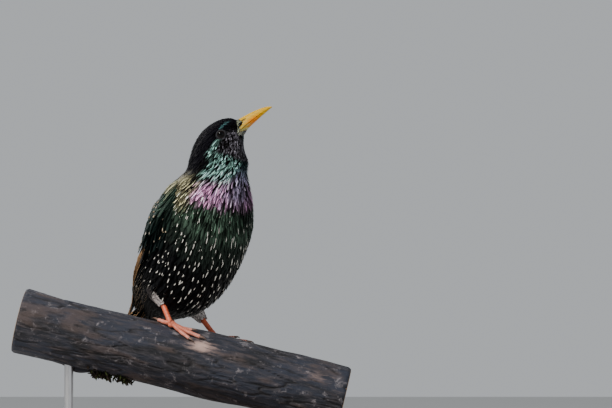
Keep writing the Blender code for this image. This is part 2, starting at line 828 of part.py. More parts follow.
def perch():
    rings = []
    for along in np.linspace(-PERCH_HALF, PERCH_HALF, 30):
        rings.append([perch_point(along, 360.0 * k / 28) for k in range(28)])
    obj = loft("perch", rings)
    rooms = []
    for x in ROD_X:
        low, high = under_perch(x) - 14.0, under_perch(x) + ROD_INTO_PERCH + GAP
        rooms.append(cylinder("rod_room", (x, 0.0), ROD_RADIUS + GAP, low, high, 24))
    boolean(obj, rooms, "DIFFERENCE")
    finish(keep_largest(obj), "perch", "bark", (0.0, 0.0, PERCH_Z))


def base_ring(inset, z):
    """Outline of the base with rounded corners."""
    half_x, half_y = BASE_SIZE[0] / 2 - inset, BASE_SIZE[1] / 2 - inset
    corner = BASE_CORNER - inset
    ring = []
    for cx, cy, start in ((1, 1, 0), (-1, 1, 90), (-1, -1, 180), (1, -1, 270)):
        for k in range(7):
            a = radians(start + 15 * k)
            x = cx * (half_x - corner) + corner * cos(a)
            y = cy * (half_y - corner) + corner * sin(a)
            ring.append((x, y, z))
    return ring


def stand():
    top = BASE_SIZE[2]
    edges = ((1.2, 0.0), (0.0, 1.2), (0.0, top - 2.0), (0.6, top - 0.6), (2.0, top))
    obj = loft("stand_base", [base_ring(inset, z) for inset, z in edges])
    rooms = []
    for x in ROD_X:
        floor = top - ROD_INTO_BASE - GAP
        rooms.append(cylinder("rod_hole", (x, 0.0), ROD_RADIUS + GAP, floor, top + 5.0, 24))
    boolean(obj, rooms, "DIFFERENCE")
    finish(keep_largest(obj), "stand_base", "base_wood", (0.0, 0.0, 0.0))
    for name, x in zip(("stand_rod_left", "stand_rod_right"), ROD_X):
        rod = cylinder("rod", (x, 0.0), ROD_RADIUS, top - ROD_INTO_BASE, under_perch(x) + ROD_INTO_PERCH, 24)
        finish(rod, name, "rod_steel", (x, 0.0, top))


def clear():
    for obj in list(bpy.data.objects):
        bpy.data.objects.remove(obj)


def main():
    clear()
    torso()
    neck()
    head()
    mandibles()
    eyes()
    for name, sign in (("wing_right", 1), ("wing_left", -1)):
        wing(name, sign)
    tail()
    for side in FEET:
        foot(side)
    perch()
    stand()


main()
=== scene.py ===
from math import cos, pi, radians, sin, tan

import bmesh
import bpy
import numpy as np
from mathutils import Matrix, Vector, noise


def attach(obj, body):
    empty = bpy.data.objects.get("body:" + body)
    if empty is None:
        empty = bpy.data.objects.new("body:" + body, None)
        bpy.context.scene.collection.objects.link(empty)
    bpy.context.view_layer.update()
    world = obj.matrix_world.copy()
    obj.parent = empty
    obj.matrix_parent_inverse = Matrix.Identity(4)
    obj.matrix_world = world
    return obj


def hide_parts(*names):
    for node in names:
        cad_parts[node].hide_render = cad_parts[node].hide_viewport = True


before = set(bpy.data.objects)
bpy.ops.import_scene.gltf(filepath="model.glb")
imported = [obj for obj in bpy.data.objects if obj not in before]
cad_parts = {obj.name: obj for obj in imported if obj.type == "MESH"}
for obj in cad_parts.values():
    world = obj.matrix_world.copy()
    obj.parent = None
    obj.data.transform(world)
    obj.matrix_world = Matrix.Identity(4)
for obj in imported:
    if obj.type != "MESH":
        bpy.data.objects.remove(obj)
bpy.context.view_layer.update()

MM = 0.001
TURN = 2 * pi

# Where the bird stands and which way it faces
BIRD_AT = (8.0, 0.0, 105.0)
HEADING = 52.0

# Body stations from the tail root to the bill: step, pitch, yaw, half width, back, belly
BODY_START = (-52.0, 0.0, 5.5)
BODY = (
    (0.0, 38, 0, 6.0, 2.0, 3.0),
    (14.0, 40, 0, 13.5, 7.0, 10.5),
    (13.0, 43, 0, 22.0, 15.0, 21.5),
    (22.0, 46, 0, 28.5, 24.0, 33.0),
    (25.5, 51, 0, 31.5, 30.0, 36.0),
    (20.0, 60, 0, 32.0, 31.0, 33.5),
    (13.5, 69, 2, 29.0, 28.5, 28.5),
    (10.0, 79, 10, 24.5, 24.0, 24.5),
    (8.0, 85, 24, 19.0, 19.0, 22.0),
    (7.5, 80, 36, 17.0, 17.5, 21.5),
    (7.0, 68, 42, 16.0, 16.5, 21.0),
    (6.5, 56, 43, 14.0, 15.0, 19.0),
    (6.0, 45, 43, 11.4, 12.5, 14.5),
    (5.5, 36, 43, 8.0, 9.4, 9.5),
    (5.0, 31, 43, 4.4, 4.8, 5.0),
)
BODY_END = 163.5

# Hollow of the flank that the folded wing lies in: depth, middle, half width, then where it fades
WING_BED = (5.2, 52.0, 54.0, (36.0, 64.0), (102.0, 122.0))

# Bill, in the head's own frame: along, half width, culmen, line of the mouth, keel
BILL_BACK = 20.6
BILL_LIFT = 0.95
BILL = (
    (12.0, 5.2, 2.2, -4.3, -5.6),
    (15.5, 5.7, 3.7, -3.6, -5.7),
    (18.0, 5.5, 4.6, -2.8, -5.1),
    (20.5, 4.7, 5.2, -2.0, -4.3),
    (23.0, 4.0, 5.2, -1.4, -3.4),
    (27.0, 3.25, 4.95, -0.7, -2.5),
    (31.0, 2.7, 4.6, -0.2, -1.8),
    (35.0, 2.15, 4.05, 0.2, -1.05),
    (39.0, 1.6, 3.2, 0.5, -0.45),
    (42.0, 1.05, 2.15, 0.6, 0.0),
    (44.2, 0.4, 0.95, 0.62, 0.25),
)
BILL_FINE_FROM = 42.0
# Its halves: way up, roundness across and upwards, share of the width, and width and arch of the inner side
BILL_HALVES = {"upper": (1, 0.92, 0.88, 1.0, 0.94, 0.35), "lower": (-1, 0.9, 0.9, 0.92, 0.88, 0.2)}
MOUTH_GAP = 0.06
# The nostril's middle: along, up
NOSTRIL = (23.6, 2.6)

# Eyes, in the head's frame: along, up, out to the side; then size, look forward, room in the coat, lids
EYE = (6.75, 0.9, 9.7)
EYE_RADIUS = 3.9
EYE_LEAN = 0.16
EYE_ROOM = 3.6
LID_RING = 2.7
LID_THICK = 0.74
LID_OUT = 2.25

# Folded wing: wrist, tip, the line it lies along, its lift off the body, and each flight feather's reach
WRIST = (8.5, -33.0, 78.0)
WING_TIP = (-72.0, -9.5, -2.0)
WING_AXIS = 12.0
WING_LIFT = 1.2
WING_START = (96.0, -72.0)
WING_TURN = (-1.01, 0.33)
FLIGHT_TIPS = (116, 114, 110, 105, 100, 95, 91, 87, 83, 80, 77, 75, 72, 70, 67, 61, 54, 48)

# Tail
TAIL_ROOT = (-37.0, 0.0, 20.5)
TAIL_PITCH = -43.0

# Perch
PERCH_RADIUS = 21.5
PERCH_SLOPE = 13.5
PERCH_HALF = 111.0
PERCH_Z = 84.8
PERCH_AXIS = np.array([cos(radians(PERCH_SLOPE)), 0.0, -sin(radians(PERCH_SLOPE))])

# Feet: place on the perch as along and round, heading of the middle toe, ankle, reach of the tuft
FEET = {
    "right": (-11.8, -27.7, -13.0, (-17.4, -17.0, 25.5), 0.40),
    "left": (19.4, 40.0, -19.0, (-20.2, 12.2, 17.0), 0.45),
}
# Toes: heading from the middle one, length, length of the claw, radius
TOES = ((17.0, 14.0, 5.5, 1.35), (0.0, 21.0, 6.5, 1.5), (-17.0, 16.0, 5.5, 1.35), (158.0, 11.0, 7.5, 1.5))
# Keeps the rings of shanks, toes and claws one way up
LEG_UPRIGHT = (0.3, 1.0, 0.0)

# Depth of the skin under the coat's outer surface, and where along the body its roots and its pieces lie
COAT = 1.7
COAT_ROOTS = (4.0, 162.6)
COAT_PIECES = (("coat_belly", 0, 92), ("coat_neck", 92, 134), ("coat_head", 134, 170))

# The camera stands this far off and looks at this point, a little upwards
TARGET = (82.7, 0.0, 188.3)
DISTANCE = 2200.0
LOOK_UP = 3.0
PIXELS_PER_MM = 1.5
PICTURE_WIDTH = 612
FILM = 36.0

# Soft lights: name, place, size, power, colour; all look at one point
LIGHTS = (
    ("key", (-0.85, -0.85, 1.25), 0.30, 40.0, (1.0, 0.96, 0.91)),
    ("fill", (1.1, -1.3, 0.5), 1.2, 2.6, (0.88, 0.93, 1.0)),
    ("rim", (-0.6, 1.1, 0.9), 0.7, 5.0, (1.0, 0.98, 0.95)),
)
LIT = (0.01, 0.0, 0.17)
SKY = (0.74, 0.77, 0.80, 1.0)
SKY_STRENGTH = 0.62
FLOOR_HALF = 8.0
FLOOR_LINES = 25

SEED = 52


# Shape of the body


def unit(v):
    v = np.asarray(v, float)
    return v / np.maximum(np.linalg.norm(v, axis=-1, keepdims=True), 1e-12)


def direction(pitch, yaw):
    p, y = radians(pitch), radians(yaw)
    return np.array([cos(p) * cos(y), cos(p) * sin(y), sin(p)])


def to_world(p):
    """A point of the bird's frame, forward, left and up, in the world."""
    p = np.asarray(p, float)
    a = radians(HEADING)
    return np.stack(
        [
            BIRD_AT[0] + p[..., 0] * cos(a) + p[..., 1] * sin(a),
            BIRD_AT[1] - p[..., 0] * sin(a) + p[..., 1] * cos(a),
            BIRD_AT[2] + p[..., 2],
        ],
        -1,
    )


def turned(v):
    return to_world(v) - to_world(np.zeros(3))


def body_columns():
    """Distance along the body, and centre, angles and sizes, at each station."""
    centre = np.array(BODY_START, float)
    along, columns = [], []
    total = 0.0
    before = None
    for step, pitch, yaw, wide, back, belly in BODY:
        if before is not None:
            centre = centre + step * direction((pitch + before[0]) / 2, (yaw + before[1]) / 2)
        total += step
        along.append(total)
        columns.append([*centre, pitch, yaw, wide, back, belly])
        before = (pitch, yaw)
    return np.array(along), np.array(columns, float)


def slopes(along, columns):
    """Slope of each column at its stations; sizes level off where they turn back."""
    found = np.zeros_like(columns)
    rise = np.diff(columns, axis=0) / np.diff(along)[:, None]
    found[0], found[-1] = rise[0], rise[-1]
    for i in range(1, len(along) - 1):
        near, far = along[i] - along[i - 1], along[i + 1] - along[i]
        found[i] = (rise[i - 1] * far + rise[i] * near) / (near + far)
        turned_back = rise[i - 1, 5:] * rise[i, 5:] <= 0
        found[i, 5:][turned_back] = 0
    return found


ALONG, COLUMNS = body_columns()
SLOPES = slopes(ALONG, COLUMNS)


def on_curve(table, slope, i, t, h=1.0):
    """Values on the smooth curve through a table's rows, this share of the way from row i to the next."""
    q = (2 * t**3 - 3 * t**2 + 1) * table[i] + (t**3 - 2 * t**2 + t) * h * slope[i]
    return q + (-2 * t**3 + 3 * t**2) * table[i + 1] + (t**3 - t**2) * h * slope[i + 1]


def body_rows(s):
    """Centre, forward, side, up and sizes of the body at each distance along it."""
    s = np.asarray(s, float)
    held = np.clip(s, 0.0, BODY_END)
    i = np.clip(np.searchsorted(ALONG, held, side="right") - 1, 0, len(ALONG) - 2)
    h = (ALONG[i + 1] - ALONG[i])[..., None]
    q = on_curve(COLUMNS, SLOPES, i, (held - ALONG[i])[..., None] / h, h)
    p, y = np.radians(q[..., 3]), np.radians(q[..., 4])
    forward = np.stack([np.cos(p) * np.cos(y), np.cos(p) * np.sin(y), np.sin(p)], -1)
    up = np.stack([-np.sin(p) * np.cos(y), -np.sin(p) * np.sin(y), np.cos(p)], -1)
    side = np.stack([-np.sin(y), np.cos(y), np.zeros_like(y)], -1)
    centre = q[..., :3] + (s - held)[..., None] * forward
    return centre, forward, side, up, q[..., 5:8]


def smooth(x, low, high):
    """0 below low, 1 above high, with an easy curve between."""
    t = np.clip((np.asarray(x, float) - low) / (high - low), 0, 1)
    return t * t * (3 - 2 * t)


def span(x, start, full, last, end):
    """1 between full and last, falling to 0 at start and at end."""
    return smooth(x, start, full) * smooth(x, end, last)


def bump_at(x, middle, half):
    """1 at the middle, falling to nothing this far to either side."""
    return smooth(1 - np.abs(np.asarray(x, float) - middle) / half, 0, 1)


def circle(count, whole=TURN):
    """Evenly spaced angles once round."""
    return whole * np.arange(count) / count


def half_turn(angle):
    """The same direction in degrees, from -180 to 180."""
    return (np.asarray(angle, float) + 180.0) % 360.0 - 180.0


def from_back(angle):
    """Degrees away from the middle of the back, the same on both sides."""
    return np.abs(half_turn(angle))


def folded(angle):
    """Degrees away from the middle of the belly, the same on both sides."""
    return 180.0 - from_back(angle)


def wing_bed(s, angle):
    """How far the flank gives way here for the folded wing."""
    deep, middle, half, start, end = WING_BED
    across = smooth(half - np.abs(from_back(angle) - middle), 0.0, half)
    return deep * across * smooth(s, *start) * (1 - smooth(s, *end))


def body_points(s, angle, lift):
    """Points over the body: angle 0 is the back, 90 the left side, 180 the belly."""
    centre, _, side, up, size = body_rows(s)
    a = np.radians(angle)
    depth = np.where(np.cos(a) > 0, size[..., 1], size[..., 2])
    lift = lift - wing_bed(s, angle)
    out = (np.sin(a) * (size[..., 0] + lift))[..., None] * side
    return centre + out + (np.cos(a) * (depth + lift))[..., None] * up


def head_frame():
    """Origin and axes that the bill and the eyes are measured from."""
    end, forward, side, up, _ = body_rows(np.array(BODY_END))
    return end - BILL_BACK * forward - BILL_LIFT * up, forward, side, up


HEAD_ORIGIN, HEAD_FORWARD, HEAD_SIDE, HEAD_UP = head_frame()


def head_point(along, out, height):
    """A point of the head's frame, out to the left positive."""
    along, out, height = (np.asarray(v, float)[..., None] for v in (along, out, height))
    return HEAD_ORIGIN + along * HEAD_FORWARD + out * HEAD_SIDE + height * HEAD_UP


def eye_axes(sign):
    """Centre of one eye, the way it looks and the way to its front corner, in the bird's frame."""
    outward = unit(sign * HEAD_SIDE + EYE_LEAN * HEAD_FORWARD)
    across = unit(HEAD_FORWARD - (HEAD_FORWARD @ outward) * outward)
    return head_point(EYE[0], sign * EYE[2], EYE[1]), outward, across


# Meshes


def build_mesh(name, points, faces, layers=None):
    """A mesh from arrays in the world's millimetres; layers hold point colours, values and UV maps."""
    points = np.asarray(points, float) * MM
    faces = np.asarray(faces, np.int32)
    mesh = bpy.data.meshes.new(name)
    mesh.vertices.add(len(points))
    mesh.vertices.foreach_set("co", points.astype(np.float32).ravel())
    count, sides = faces.shape
    mesh.loops.add(count * sides)
    mesh.loops.foreach_set("vertex_index", faces.ravel())
    mesh.polygons.add(count)
    mesh.polygons.foreach_set("loop_start", np.arange(0, count * sides, sides, dtype=np.int32))
    mesh.polygons.foreach_set("use_smooth", np.ones(count, bool))
    mesh.update(calc_edges=True)
    for key, values in (layers or {}).items():
        values = np.asarray(values, np.float32)
        if key.startswith("uv_"):
            layer = mesh.uv_layers.new(name=key[3:])
            layer.data.foreach_set("uv", values[faces.ravel()].ravel())
        elif values.ndim == 1:
            mesh.attributes.new(key, "FLOAT", "POINT").data.foreach_set("value", values)
        else:
            full = np.ones((len(values), 4), np.float32)
            full[:, : values.shape[1]] = values
            mesh.attributes.new(key, "FLOAT_COLOR", "POINT").data.foreach_set("color", full.ravel())
    obj = bpy.data.objects.new(name, mesh)
    bpy.context.scene.collection.objects.link(obj)
    return obj


def grid_faces(rows, columns, closed):
    """Triangles between rows of points; closed joins the last column to the first."""
    last = columns if closed else columns - 1
    i, k = np.meshgrid(np.arange(rows - 1), np.arange(last), indexing="ij")
    a = (i * columns + k).ravel()
    b = (i * columns + (k + 1) % columns).ravel()
    return np.concatenate([np.stack([a, b, b + columns], 1), np.stack([a, b + columns, a + columns], 1)])


def face_out(obj):
    """Turns every face of the closed mesh outwards."""
    bm = bmesh.new()
    bm.from_mesh(obj.data)
    bmesh.ops.recalc_face_normals(bm, faces=bm.faces)
    bm.to_mesh(obj.data)
    bm.free()
    return obj


def tube_arrays(rings):
    """Points and triangles of a closed body through rings of the same count."""
    rings = np.asarray(rings, float)
    rows, columns = rings.shape[:2]
    points = rings.reshape(-1, 3)
    faces = grid_faces(rows, columns, True)
    k = np.arange(columns)
    start = np.stack([(k + 1) % columns, k, np.full(columns, len(points))], 1)
    base = (rows - 1) * columns
    end = np.stack([base + k, base + (k + 1) % columns, np.full(columns, len(points) + 1)], 1)
    points = np.concatenate([points, [rings[0].mean(0)], [rings[-1].mean(0)]])
    return points, np.concatenate([faces, start, end])


def ends_too(values):
    """Repeats a grid's values for the two middle points that close a tube."""
    values = np.asarray(values, float)
    flat = values.reshape(-1, *values.shape[2:])
    return np.concatenate([flat, [values[0].mean(0)], [values[-1].mean(0)]])


def even(n, **values):
    """Layers that say the same at each of n points."""
    return {key: np.broadcast_to(value, (n, *np.shape(value))) for key, value in values.items()}


def merged(parts):
    """Joins (points, faces, layers) of several bodies into one."""
    points, faces, layers = [], [], {}
    start = 0
    for p, f, extra in parts:
        points.append(p)
        faces.append(f + start)
        start += len(p)
        for key, values in extra.items():
            layers.setdefault(key, []).append(np.asarray(values, float))
    return np.concatenate(points), np.concatenate(faces), {k: np.concatenate(v) for k, v in layers.items()}


def feathers(name, parts, slot, *nodes):
    """One piece from its (points, faces, layers) parts, set on the CAD's only body."""
    obj = build_mesh(name, *merged(parts))
    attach(obj, "root")
    if nodes:
        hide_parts(*nodes)
    return obj


def solid(*wanted):
    """The same, for closed bodies whose faces still have to be turned outwards."""
    return face_out(feathers(*wanted))


# Feathers

# Outlines of small feathers: pairs of a place along them and the share of the half width there
LANCE = ((0.0, 0.45), (0.25, 0.85), (0.5, 1.0), (0.72, 0.86), (0.88, 0.5), (0.96, 0.24))
LEAF = ((0.0, 0.4), (0.3, 0.85), (0.6, 1.0), (0.8, 0.92), (0.92, 0.62), (0.975, 0.34))
# Side of each small feather's own patch on the unwrap
PATCH = 0.003
# What a small feather has unless its batch says otherwise
PLAIN = {"ridge": 0.25, "ragged": 0.1, "bend": 0.0, "turn": 0.0, "spot": 0.0, "fringe": 0.0, "gloss": 0.4}


def swung(degrees, along, across):
    """Distances along and across, turned by this angle."""
    a = np.radians(degrees)
    return along * np.cos(a) - across * np.sin(a), along * np.sin(a) + across * np.cos(a)


def vane_faces(rows):
    """Triangles of one closed vane: left edge, ridge and right edge in each row, then the tip's point."""
    found = []
    for a in range(0, 3 * (rows - 1), 3):
        for p, q in ((0, 1), (1, 2), (2, 0)):
            found += [(a + p, a + q, a + q + 3), (a + p, a + q + 3, a + p + 3)]
    a = (rows - 1) * 3
    return np.array(found + [(a, a + 1, a + 3), (a + 1, a + 2, a + 3), (a + 2, a, a + 3), (0, 2, 1)])


def feather_batch(place_at, root, shape, rng, **values):
    """Many thin closed vanes at once.

    place_at takes where each root is, the distances run and off from it, and the lift, all in
    millimetres and degrees, and gives points. The values are single ones or arrays of n: length, width,
    turn in degrees, low, mid and high lift at the root, the middle and the tip, ridge, ragged and bend,
    plus the colours and the place on the unwrap.
    """
    n, rows = len(root), len(shape)
    spec = {}
    for key, value in {**PLAIN, **values}.items():
        size = (n, np.shape(value)[-1]) if key in ("base", "tip", "bake") else n
        spec[key] = np.broadcast_to(np.asarray(value, float), size)
    parts, wide = np.array(shape).T
    each = {key: value[:, None, None] for key, value in spec.items() if value.ndim == 1}
    f = parts[None, :, None]
    side = np.array([-1.0, 0.0, 1.0])[None, None, :]
    rag = 1 + each["ragged"] * rng.uniform(-1, 1, (n, rows, 3))
    x = side * (each["width"] / 2 * wide[None, :, None]) * rag + each["bend"] * (f**2) * each["length"]
    low, mid, high = each["low"], each["mid"], each["high"]
    lift = low + (mid - low) * smooth(f, 0.0, 0.55) + (high - mid) * np.clip((f - 0.45) / 0.55, 0, 1) ** 1.5
    lift = lift + each["ridge"] * (1 - np.abs(side)) * (0.4 + 0.6 * (1 - f))
    run, off = swung(each["turn"], f * each["length"], x)
    body = place_at(root[:, None, None, 0], root[:, None, None, 1], run, off, lift)
    run, off = swung(spec["turn"], spec["length"], spec["bend"] * spec["length"])
    tip = place_at(root[:, 0], root[:, 1], run, off, spec["high"] + 0.2 * spec["ridge"])
    per = rows * 3 + 1
    points = np.concatenate([body.reshape(n, rows * 3, 3), tip[:, None, :]], 1).reshape(-1, 3)
    faces = (vane_faces(rows)[None] + (np.arange(n) * per)[:, None, None]).reshape(-1, 3)
    u, v = np.meshgrid((0.0, 0.5, 1.0), parts)
    local = np.concatenate([np.stack([u, v], -1).reshape(-1, 2), [[0.5, 1.0]]])
    uv = np.broadcast_to(local[None], (n, per, 2))
    bake = spec["bake"][:, None, :] + (uv - 0.5) * PATCH
    layers = {"uv_Vane": uv.reshape(-1, 2), "uv_OFBake": bake.reshape(-1, 2)}
    for key in ("base", "tip", "spot", "fringe", "gloss"):
        layers[key] = np.repeat(spec[key], per, axis=0)
    return points, faces, layers


def body_place(s, angle, run, off, lift):
    """Points of a feather that lies back along the body from its root."""
    at = s - run
    _, _, _, _, size = body_rows(np.broadcast_to(s, run.shape) if np.ndim(run) else s)
    a = np.radians(angle)
    depth = np.where(np.cos(a) > 0, size[..., 1], size[..., 2])
    round_mm = np.sqrt((size[..., 0] * np.cos(a)) ** 2 + (depth * np.sin(a)) ** 2)
    there = angle + np.degrees(off / np.maximum(round_mm, 2.0))
    return to_world(body_points(at, there, lift))


def bake_uv(s, angle):
    """Place on the unwrap of the skin: round the body across, along it upwards."""
    u = ((np.asarray(angle, float) % 360.0) / 360.0) * 0.94 + 0.03
    v = np.clip(np.asarray(s, float) / (BODY_END + 2.0), -0.02, 1.0) * 0.62 + 0.36
    return np.stack([u, v], -1)


# Markings, painted sheen, painted highlight and painted shade

BLACK = np.array([0.0035, 0.004, 0.005])
# The green, mint, lilac, lavender, gold and cream below are iridescent hues of the plumage painted as bright
# as the sheen they show in light; the cream on the mantle is painted sheen alone
GREEN = np.array([0.060, 0.102, 0.072])
MINT_SHEEN = np.array([0.42, 0.80, 0.70])
TEAL = np.array([0.09, 0.22, 0.23])
LILAC_SHEEN = np.array([0.90, 0.42, 0.74])
LAVENDER_SHEEN = np.array([0.40, 0.42, 0.60])
GOLD_SHEEN = np.array([0.60, 0.56, 0.33])
CREAM_SHEEN = np.array([0.42, 0.40, 0.34])
PURPLE = np.array([0.006, 0.005, 0.010])
MAUVE = np.array([0.15, 0.14, 0.165])
BUFF = np.array([0.50, 0.33, 0.17])
WHITE = np.array([0.84, 0.81, 0.74])
BILL_YELLOW = np.array([0.47, 0.285, 0.0])
# Orange of the bill's painted shade
BILL_SHADE_ORANGE = np.array([0.58, 0.13, 0.0])
BILL_HORN = np.array([0.56, 0.37, 0.06])
BILL_PALE = np.array([0.30, 0.32, 0.15])
NOSTRIL_DARK = np.array([0.10, 0.08, 0.05])
LORE_PALE = np.array([0.42, 0.46, 0.32])
BROWN = np.array([0.022, 0.018, 0.016])
TAN = np.array([0.42, 0.25, 0.13])
GLOSS_GREEN = np.array([0.010, 0.026, 0.023])
THIGH_DARK = np.array([0.045, 0.040, 0.040])
THIGH_PALE = np.array([0.66, 0.60, 0.58])
LEG_RED = np.array([0.58, 0.085, 0.020])
LEG_LOW = np.array([0.62, 0.16, 0.085])
TOE_PINK = np.array([0.56, 0.15, 0.080])
TOE_END = np.array([0.60, 0.25, 0.19])
CLAW_ROOT = np.array([0.20, 0.13, 0.10])
CLAW_POINT = np.array([0.025, 0.018, 0.016])
IRIS = np.array([0.005, 0.003, 0.0025])
PUPIL = np.array([0.0008, 0.0008, 0.001])
EYE_RIM = np.array([0.002, 0.002, 0.002])
LID_GREY = np.array([0.020, 0.020, 0.024])
THIGH_SKIN = np.array([0.10, 0.09, 0.085])
MOSS = np.array([0.030, 0.038, 0.012])
SHRED = np.array([0.026, 0.020, 0.015])
SHRED_TIP = np.array([0.10, 0.085, 0.06])


def blend(a, b, t):
    """Colour a where t is 0, and b where it is 1."""
    t = np.asarray(t, float)[..., None]
    return np.asarray(a) * (1 - t) + np.asarray(b) * t


def markings_sheen_and_shade(s, angle):
    """Colour of the plumage, and how glossy it is, by place on the body, with painted sheen on breast, neck
    and throat, a painted highlight over each eye and painted shade on the bird's left side.
    """
    s, a = np.asarray(s, float), folded(angle)
    breast = span(s, 90, 99, 109, 116) * smooth(a, 125, 95)
    lilac = span(s, 107, 112, 119, 126) * (0.55 + 0.45 * smooth(a, 4, 24)) * smooth(a, 84, 66)
    lavender = span(s, 108, 116, 122, 134) * smooth(a, 46, 8)
    gold = span(s, 100, 108, 118, 125) * span(a, 60, 78, 114, 136)
    throat = span(s, 117, 124, 134, 142) * span(a, 18, 34, 74, 90)
    crown = smooth(s, 118, 128) * smooth(a, 86, 102)
    stripe = span(s, 132, 137, 145, 150) * bump_at(a, 92, 9)
    # Painted highlight: a teal line along the crown's edge over each eye
    brow = bump_at(a, 110 + 2.6 * (s - 151), 7) * span(s, 148, 151, 157, 160)
    # Painted shade: the bird's left side of breast and neck is darkened towards black
    away = bump_at(np.asarray(angle, float) % 360.0, 148.0, 26.0) * span(s, 92, 100, 140, 150)
    tints = (
        # Green, lilac, lavender, gold, cream and mint: the plumage's iridescent hues with painted sheen
        (GREEN, np.clip(0.22 * span(s, 70, 90, 94, 102) + breast, 0, 1)),
        (GREEN * 0.4, 0.7 * smooth(a, 95, 125) * smooth(s, 128, 112)),
        (LILAC_SHEEN, lilac),
        (LAVENDER_SHEEN, 0.7 * lavender),
        (GOLD_SHEEN, gold),
        (CREAM_SHEEN, 0.60 * span(s, 104, 111, 121, 125) * span(a, 104, 122, 145, 172)),
        (MINT_SHEEN, 0.9 * throat),
        (TEAL * 0.5, 0.6 * smooth(s, 122, 130) * smooth(a, 34, 18)),
        (PURPLE, 0.6 * crown),
        (MAUVE, 0.9 * span(s, 136, 143, 156, 161) * smooth(a, 100, 78)),
        (MINT_SHEEN * 0.85, 0.85 * stripe),
        # painted highlight over each eye
        (TEAL * 1.3, 0.85 * brow),
        (BLACK, 0.8 * smooth(s, 153, 158) * span(a, 74, 84, 108, 116)),
        # painted shade on the bird's left side
        (BLACK * 2, 0.62 * away),
    )
    colour = np.broadcast_to(BLACK, (*np.broadcast(s, a).shape, 3))
    for tint, share in tints:
        colour = blend(colour, tint, share)
    bright = np.clip(lilac + lavender + gold + throat + stripe, 0, 1)
    gloss = 0.25 + 0.18 * bright + 0.25 * breast + 0.10 * crown + 0.2 * brow
    return colour, gloss


def spot_size(s, angle):
    """Length of the pale tip, as a share of the feather, by place on the body."""
    a = folded(angle)
    size = 0.25 * smooth(s, 112, 100) * smooth(s, 28, 50)
    return size * smooth(a, 150, 130) + 0.14 * smooth(a, 120, 140) * smooth(s, 122, 112) * smooth(s, 30, 60)


def wing_height(s, angle):
    """How far the folded wing's own feathers stand off the body under this place."""
    a = (WING_START[0] - s) / -WING_TURN[0]
    size = body_rows(s)[4]
    half = (size[..., 0] + size[..., 1]) / 2 + 2
    t = WING_AXIS + np.radians(-from_back(angle) - (WING_START[1] + WING_TURN[1] * a)) * half
    low = np.interp(a, (-7.5, -2, 5), (9, 2, 0))
    high = np.interp(a, (-7.5, -2, 5, 12, 20), (11, 21, 30, 37, 41))
    tall = np.interp(a, (-11, -7.5, -2, 5, 12, 20, 42, 60, 90), (0, 1.8, 4.3, 5.9, 6.6, 6.7, 5.9, 4.4, 3.0))
    across = smooth(t, low - 4, low + 5) * (1 - smooth(t, high - 3, high + 6))
    return (tall + WING_LIFT * (a > -11)) * across


def coat_roots(rng, jitter=0.3):
    """Roots in staggered rows over the body: place along, angle, row and column."""
    found = []
    s, last = COAT_ROOTS
    row = 0
    while s < last:
        size = body_rows(np.array(s))[4]
        around = TURN * np.sqrt((size[0] ** 2 + ((size[1] + size[2]) / 2) ** 2) / 2)
        count = int(max(6, round(around / ACROSS_PITCH(s))))
        k = np.arange(count)
        step = ALONG_PITCH(s)
        angle = 360.0 * (k + 0.5 * (row % 2)) / count + rng.uniform(-jitter, jitter, count) * 360.0 / count
        place_s = s + rng.uniform(-jitter, jitter, count) * step
        found.append(np.stack([place_s, angle % 360.0, np.full(count, row), k], 1))
        s += step
        row += 1
    return np.concatenate(found)


def curve(pairs):
    """A function that reads between these pairs."""
    x, y = zip(*pairs)
    return lambda s: np.interp(s, x, y)


# How closely the coat's feathers stand, and how long and wide they are, from tail to bill
PLACES = (0, 40, 80, 98, 112, 125, 138, 148, 155, 163)
ALONG_PITCH = curve(zip(PLACES, (2.4, 2.7, 2.5, 2.0, 1.6, 1.25, 1.05, 0.9, 0.8, 0.7)))
ACROSS_PITCH = curve(zip(PLACES, (2.6, 2.9, 2.6, 2.0, 1.5, 1.2, 1.05, 0.9, 0.82, 0.75)))
LENGTH = curve(zip(PLACES, (17, 16, 14.5, 13, 12, 10.5, 8, 4.6, 3.0, 1.8)))
WIDTH = curve(zip(PLACES, (6.2, 5.6, 4.8, 3.2, 2.1, 1.65, 1.45, 1.3, 1.1, 0.8)))
TIP_LIFT = curve(((0, 0.3), (60, 0.2), (95, 0.3), (118, 0.6), (135, 0.7), (150, 0.2), (163, 0.0)))


def eye_room(points, reach):
    """True for points that lie this near to the line through either eye."""
    hidden = np.zeros(points.shape[:-1], bool)
    for sign in (-1, 1):
        at, outward, _ = eye_axes(sign)
        outward = turned(outward)
        gap = points - to_world(at)
        ahead = gap @ outward
        off = np.linalg.norm(gap - ahead[..., None] * outward, axis=-1)
        hidden |= (off < reach) & (ahead > 0)
    return hidden


def bill_at(along):
    """Half width, culmen, line of the mouth and keel at these places along the bill."""
    rows = np.array(BILL)
    return [np.interp(along, rows[:, 0], rows[:, k]) for k in (1, 2, 3, 4)]


def bill_room(points, grow):
    """True for points inside the bill, with this much room round it."""
    rel = points - to_world(HEAD_ORIGIN)
    along, out, high = (rel @ turned(axis) for axis in (HEAD_FORWARD, HEAD_SIDE, HEAD_UP))
    wide, top, mouth, keel = bill_at(along)
    reach = np.where(high > mouth, top - mouth, mouth - keel) + grow
    inside = (out / (wide + grow)) ** 2 + ((high - mouth) / reach) ** 2 < 1
    return inside & (along > 13.5)


def wing_cover(s, angle):
    """How much of the folded wing lies over this place on the body, 0 to 1."""
    t = np.clip((WING_START[0] - np.asarray(s, float)) / -WING_TURN[0], -20, 120)
    gap = -from_back(angle) - (WING_START[1] + WING_TURN[1] * t)
    return smooth(gap, -30, -18) * (1 - smooth(gap, 45, 60)) * smooth(t, -12, -2) * (1 - smooth(t, 92, 104))


